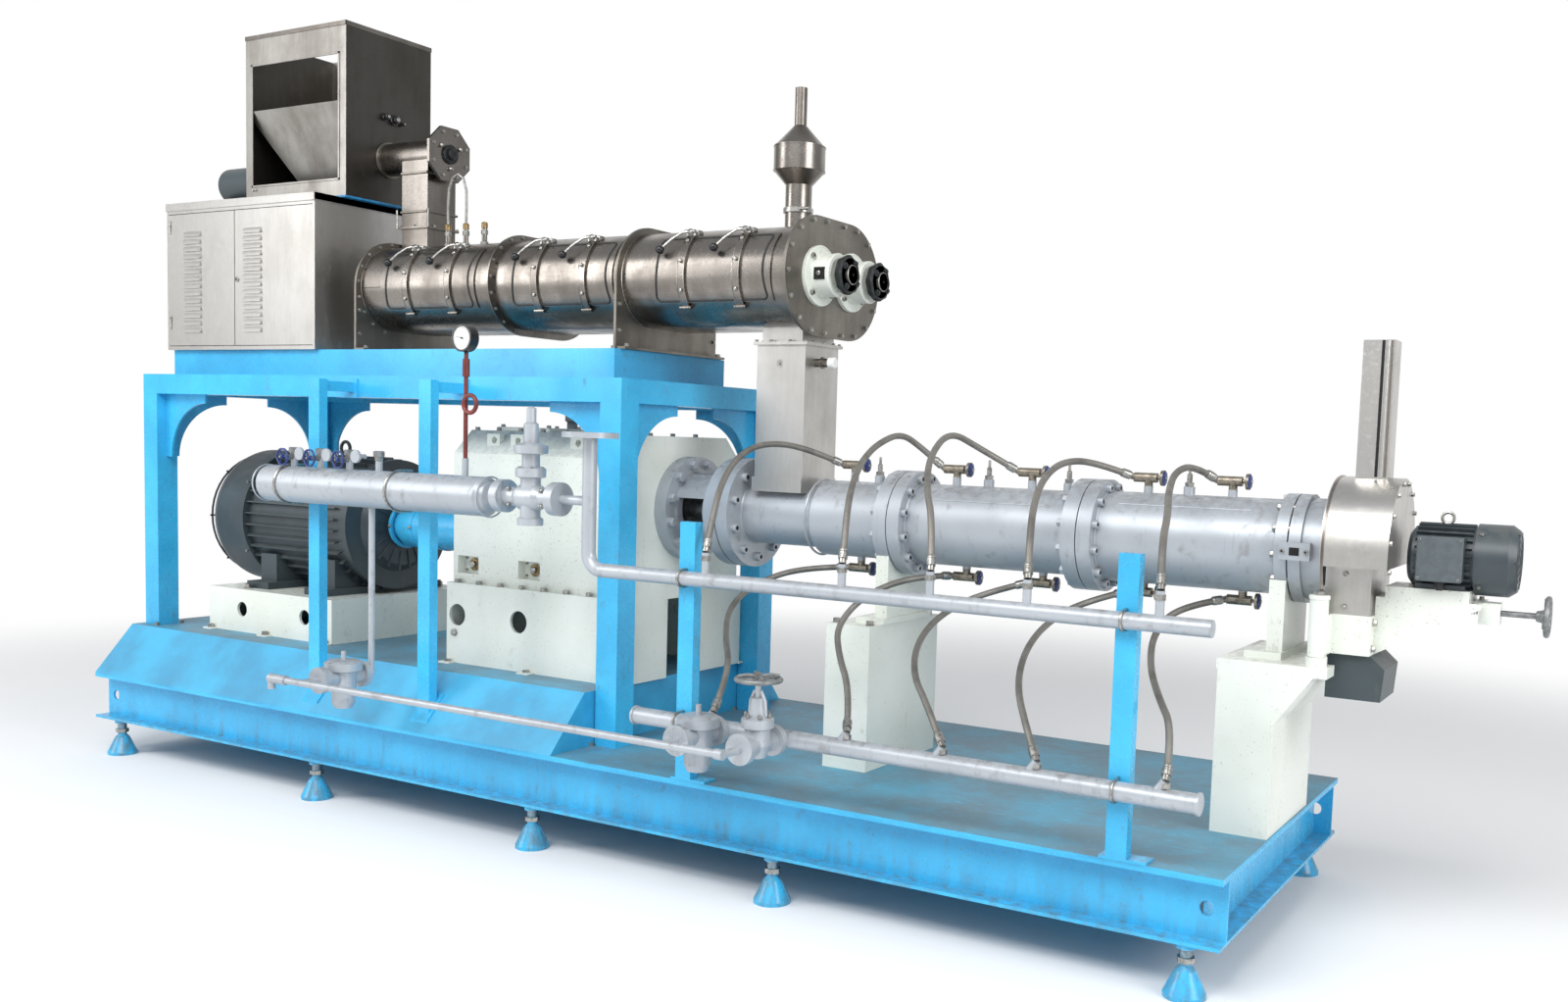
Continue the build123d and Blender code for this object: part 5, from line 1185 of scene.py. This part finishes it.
class EXTRUDER_OT_feeding_parts(bpy.types.Operator):
    """Door, louvres, lid, knobs, end cover and trim of the cabinet, hopper and feeder"""
    bl_idname = "extruder.feeding_parts"
    bl_label = "Feeding parts"

    def execute(self, context):
        s = Shape()
        # louvre hoods over the slots
        for place in grid((258, 688), (CABINET_FACE,), range(1945, 2421, 34)):
            s.prism([(0, 0), (9, -3), (9, 1), (0, 20)], place, FRONT, UP, 126, "sheet_steel")
        # the door's gaps, its lock with a keyhole of near-black painted shade, and hinges
        for left, right, low, high in ((498, 501, 1880, 2492), (20, 1030, 1880, 1883),
                                       (20, 1030, 2489, 2492)):
            s.block((left, CABINET_FACE - 0.8, low), (right, CABINET_FACE + 2, high),
                    "dark_hole", 0.2)
        s.turned((520, CABINET_FACE, 2180), FRONT, [(-1, 12), (5, 12), (7, 9)], "bolt_steel", 24)
        s.block((517, CABINET_FACE - 8.5, 2174), (523, CABINET_FACE - 6, 2186), "dark_hole", 0.4)
        for z in (1960, 2400):
            s.turned((30, CABINET_FACE - 3, z), UP, [(0, 5), (60, 5)], "bolt_steel", 12)
        # blue joint line between cabinet and hopper, and the lid's turned-down edge
        s.block((396, -246, 2538), (1086, 246, 2547), "blue_band")
        s.block((2, -378, 2506), (1048, -371, 2541), "sheet_steel")
        s.block((1044, -378, 2506), (1049, 378, 2541), "sheet_steel")
        # hopper: rolled edges round the window, the top rim and two screws
        for x in (445, 1035):
            s.block((x - 6, -241, 2616), (x + 6, -236, 3170), "hopper_steel")
        for z in (2620, 3165):
            s.block((439, -241, z - 5), (1041, -236, z + 5), "hopper_steel")
        square_band(s, (398, -241, 3280), (1082, 241, 3299.5), 5, "stainless")
        for x in (452, 470):
            s.turned((x, -240, 2602), FRONT, [(-1, 5), (4, 5), (6, 3)], "bolt_steel", 12)
        # knobs on the hopper's right side
        for y, z, r in ((-30, 2928, 17), (22, 2924, 24), (60, 2912, 9)):
            s.turned((1080, y, z), RIGHT,
                     [(-1, r), (10, r), (12, r * 0.8), (26, r * 0.8), (30, r * 0.55)],
                     "black_plastic", 24)
            s.turned((1109, y, z), RIGHT, [(0, r * 0.4), (5, r * 0.4), (6, r * 0.3)],
                     "bolt_steel", 16)
        # feeder: bearing cap, bolts and cap nuts of its end plate, and the ring at the hopper
        s.turned(FEEDER_END, RIGHT, [(-1, 42), (9, 42), (12, 38)], "black_bolt", 32)
        s.turned(FEEDER_END, RIGHT, [(10, 24), (22, 24), (25, 20)], "black_bolt", 24)
        each(hoop(FEEDER_END, 8, 100, pi / 8), s.hex_bolt, RIGHT, 13)
        each(hoop(FEEDER_END + RIGHT * 8, 3, 62, pi / 6), s.ball, 10, "bolt_steel", 14)
        s.ring((1088, 0, FEEDER_END.z), RIGHT, 71, 80, -7, 3, "dark_steel", 48, 1)
        # feed chute: bands and tie rods
        for z in (2482, 2650):
            square_band(s, (1247, -88, z), (1423, 88, z + 9), 8, "dark_steel")
        for x in (1238, 1432):
            s.tube([(x, -94, 2416), (x, -94, 2496)], 4, "bolt_steel", 8)
        # feeder motor: rings and screws of its fan cowl
        for inner, outer in ((52, 60), (30, 36)):
            s.ring(FAN_COWL, RIGHT, inner, outer, -2, 4, "slate_paint", 40)
        each(hoop(FAN_COWL + RIGHT * 2, 4, 52.8, pi / 4), s.turned, -RIGHT, [(0, 4), (4, 4)],
             "bolt_steel", 10)
        s.make("feeding_fittings", "machine")
        return {"FINISHED"}


# ------------------------------------------------------------------ steam line

STEAM_Y = -766.0
VESSEL_Z = 1292
STUB_TOP = 1433
STUB_VALVE_Z = 1402
REDUCER = Vector((2705, STEAM_Y, 1300))
RISER_FLANGE = Vector((2981, STEAM_Y, 1539.5))
UPPER_HEADER = (STEAM_Y, 1062)
LOWER_HEADER = (-770, 574)
GLOBE_VALVE = Vector((3808, -899, 574))
GLOBE_WHEEL_RIM = 70.0


def u_bolt(s, place, radius, depth, wire):
    """A U-bolt over a level pipe, with its legs going back into a post."""
    bow = [place - (BACK * sin(a) + UP * cos(a)) * radius for a in
           [pi * i / 12 for i in range(13)]]
    legs = [place + Vector((0, depth, side * radius)) for side in SIDES]
    s.tube([legs[0], *bow, legs[1]], wire, "bolt_steel")


def hand_wheel(s, place, axis, radius, look):
    """A small spoked wheel with its hub."""
    u, v = square_to(axis)
    rim = [place + (point - place) * (1 + 0.03 * cos(pi * i / 4))
           for i, point in enumerate(hoop(place, 48, radius, 0.0, u, v))]
    s.tube(rim, radius * 0.13, look, 10, True)
    for end in hoop(place, 3, radius, 0.0, u, v):
        s.tube([place, end], radius * 0.1, look, 8)
    s.turned(place, axis, [(-6, radius * 0.28), (8, radius * 0.28), (9, radius * 0.2)], look, 16)
    s.turned(place, axis, [(8, radius * 0.14), (14, radius * 0.14)], "bolt_steel", 6)


def dial_parts(s, centre, radius):
    """The gauge's rim, white face, ticks, needle and its hub."""
    s.ring(centre, FRONT, radius - 1, 50.5, -4, 4, "black_plastic", 64, 1.5)
    s.turned(centre, FRONT, [(-2, radius), (0.6, radius)], "dial_white", 64)
    s.turned(centre, FRONT, [(0, 4), (3.2, 4)], "black_plastic", 16)

    def mark(angle, outline, lift):
        """A thin flat mark that points away from the dial's middle."""
        a = radians(angle)
        s.prism(outline, centre + FRONT * lift, (cos(a), 0, sin(a)), (-sin(a), 0, cos(a)), 0.8,
                "black_plastic")

    tip = radius - 5
    for i in range(31):
        foot = tip - (8 if i % 5 == 0 else 4.5)
        mark(225 - 9 * i, [(foot, -0.5), (tip, -0.5), (tip, 0.5), (foot, 0.5)], 0.4)
    mark(170, [(-12, -1.6), (radius - 14, -0.4), (radius - 14, 0.4), (-12, 1.6)], 1.8)


class EXTRUDER_OT_steam_parts(bpy.types.Operator):
    """Dial, wheels, U-bolts, nipples and flange bolts of the steam line"""
    bl_idname = "extruder.steam_parts"
    bl_label = "Steam line parts"

    def execute(self, context):
        s = Shape()
        dial_parts(s, Vector((2379, -788, 1868)), context.scene.extruder_sizes.dial_radius)
        # vessel: wire straps, end rings, stubs with valves and wheels
        for x in (1398, 2034):
            u_bolt(s, Vector((x, STEAM_Y, VESSEL_Z)), 78, 60, 5)
        for x in (1262, 2508):
            s.tube(hoop((x, STEAM_Y, VESSEL_Z), 48, 73.5), 3.2, "silver_paint", 8, True)
        for x in (1424, 1584, 1751, 1917):
            stub = (x, STEAM_Y, STUB_TOP)
            s.turned(stub, UP, [(-30, 17), (-12, 17)], "bolt_steel", 6)
            s.turned(stub, UP, [(-14, 21), (6, 21), (8, 17)], "cast_iron", 20)
        for x in (1424, 1584, 1751):
            s.turned((x, STEAM_Y - 12, STUB_VALVE_Z), FRONT, [(0, 11), (36, 11)], "cast_iron", 14)
            hand_wheel(s, Vector((x, STEAM_Y - 56, STUB_VALVE_Z)), FRONT, 32, "knob_blue")
        # reducing valve's flanges and bonnet, and the riser's open flange, whose holes are
        # near-black discs of painted shade
        for side in SIDES:
            each(hoop(REDUCER + RIGHT * 74 * side, 4, 40, pi / 4), s.nut_end, RIGHT * side, 13)
        each(level_hoop(REDUCER + UP * 104, 6, 46, 0.3), s.hex_bolt, UP, 9)
        each(level_hoop(RISER_FLANGE, 4, 78, pi / 4), s.turned, UP, [(-1, 9), (1, 9)],
             "dark_hole", 20)
        s.turned(RISER_FLANGE, UP, [(-1, 24), (1, 24)], "dark_hole", 32)
        # header straps, hexagon nipples by the hoses, and the headers' end caps
        for x in (3394, 4954):
            u_bolt(s, Vector((x, *UPPER_HEADER)), 29, 26, 4.5)
            u_bolt(s, Vector((x, *LOWER_HEADER)), 33, 34, 4.5)
        for x in (3490, 4022, 4335, 4656, 5058):
            s.turned((x, STEAM_Y, 1128), UP, [(0, 16), (16, 16)], "bolt_steel", 6)
            s.turned((x, STEAM_Y, 1146), UP, [(0, 13), (9, 13)], "bolt_steel", 6, 0.3)
        for x in (3538, 4060, 4400, 4710, 5100):
            s.turned((x, -770, 604), UP, [(0, 15), (14, 15)], "bolt_steel", 6)
        for x, way in ((5201, RIGHT), (3210, -RIGHT)):
            s.turned((x, *LOWER_HEADER), way, [(-6, 33), (2, 33), (4, 28)], "silver_paint", 32)
        # globe valve: yoke, bonnet bolts and stem
        for side in SIDES:
            s.tube([GLOBE_VALVE + Vector((side * out, 0, up))
                    for out, up in ((30, 92), (26, 140), (10, 172))], 7, "silver_paint")
        each(level_hoop(GLOBE_VALVE + UP * 92, 6, 40, 0.26), s.nut_end, UP, 11)
        s.turned(GLOBE_VALVE + UP * 90, UP, [(0, 9), (100, 9)], "bare_steel", 16)
        s.make("steam_fittings", "machine")

        s = Shape()
        hub = GLOBE_VALVE + UP * 220
        spokes(s, [level_hoop(hub + UP * up, 4, GLOBE_WHEEL_RIM * reach, pi / 4)
                   for up, reach in ((-2, 0), (4, 0.5), (0, 0.95))], 5, "cast_iron")
        s.turned(hub, UP, [(4, 8), (10, 8), (11, 6)], "bolt_steel", 6)
        s.make("globe_wheel_spokes", "valve_wheel")
        return {"FINISHED"}


# ----------------------------------------------------------------------- panel

OPERATORS = (EXTRUDER_OT_stage, EXTRUDER_OT_hoses, EXTRUDER_OT_finishes, EXTRUDER_OT_skid_parts,
             EXTRUDER_OT_drive_parts, EXTRUDER_OT_barrel_parts, EXTRUDER_OT_cutter_parts,
             EXTRUDER_OT_conditioner_parts, EXTRUDER_OT_feeding_parts, EXTRUDER_OT_steam_parts)


class EXTRUDER_PT_panel(bpy.types.Panel):
    """Lists the extruder's pieces and their sizes"""
    bl_label = "Fish feed extruder"
    bl_idname = "EXTRUDER_PT_panel"
    bl_space_type = "VIEW_3D"
    bl_region_type = "UI"
    bl_category = "Extruder"

    def draw(self, context):
        layout = self.layout
        for group, kind in GROUPS.items():
            for name in kind.__annotations__:
                layout.prop(getattr(context.scene, group), name)
        for operator in OPERATORS:
            layout.operator(operator.bl_idname)


GROUPS = {"extruder_stage": ExtruderStage, "extruder_sizes": ExtruderSizes,
          "extruder_colours": ExtruderColours}
CLASSES = (*GROUPS.values(), *OPERATORS, EXTRUDER_PT_panel)


def register():
    for item in CLASSES:
        bpy.utils.register_class(item)
    for name, kind in GROUPS.items():
        setattr(bpy.types.Scene, name, bpy.props.PointerProperty(type=kind))


def unregister():
    for name in GROUPS:
        delattr(bpy.types.Scene, name)
    for item in reversed(CLASSES):
        bpy.utils.unregister_class(item)


def main():
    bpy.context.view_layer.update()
    register()
    for operator in OPERATORS:
        getattr(bpy.ops.extruder, operator.bl_idname.split(".")[1])()


if __name__ == "__main__":
    main()
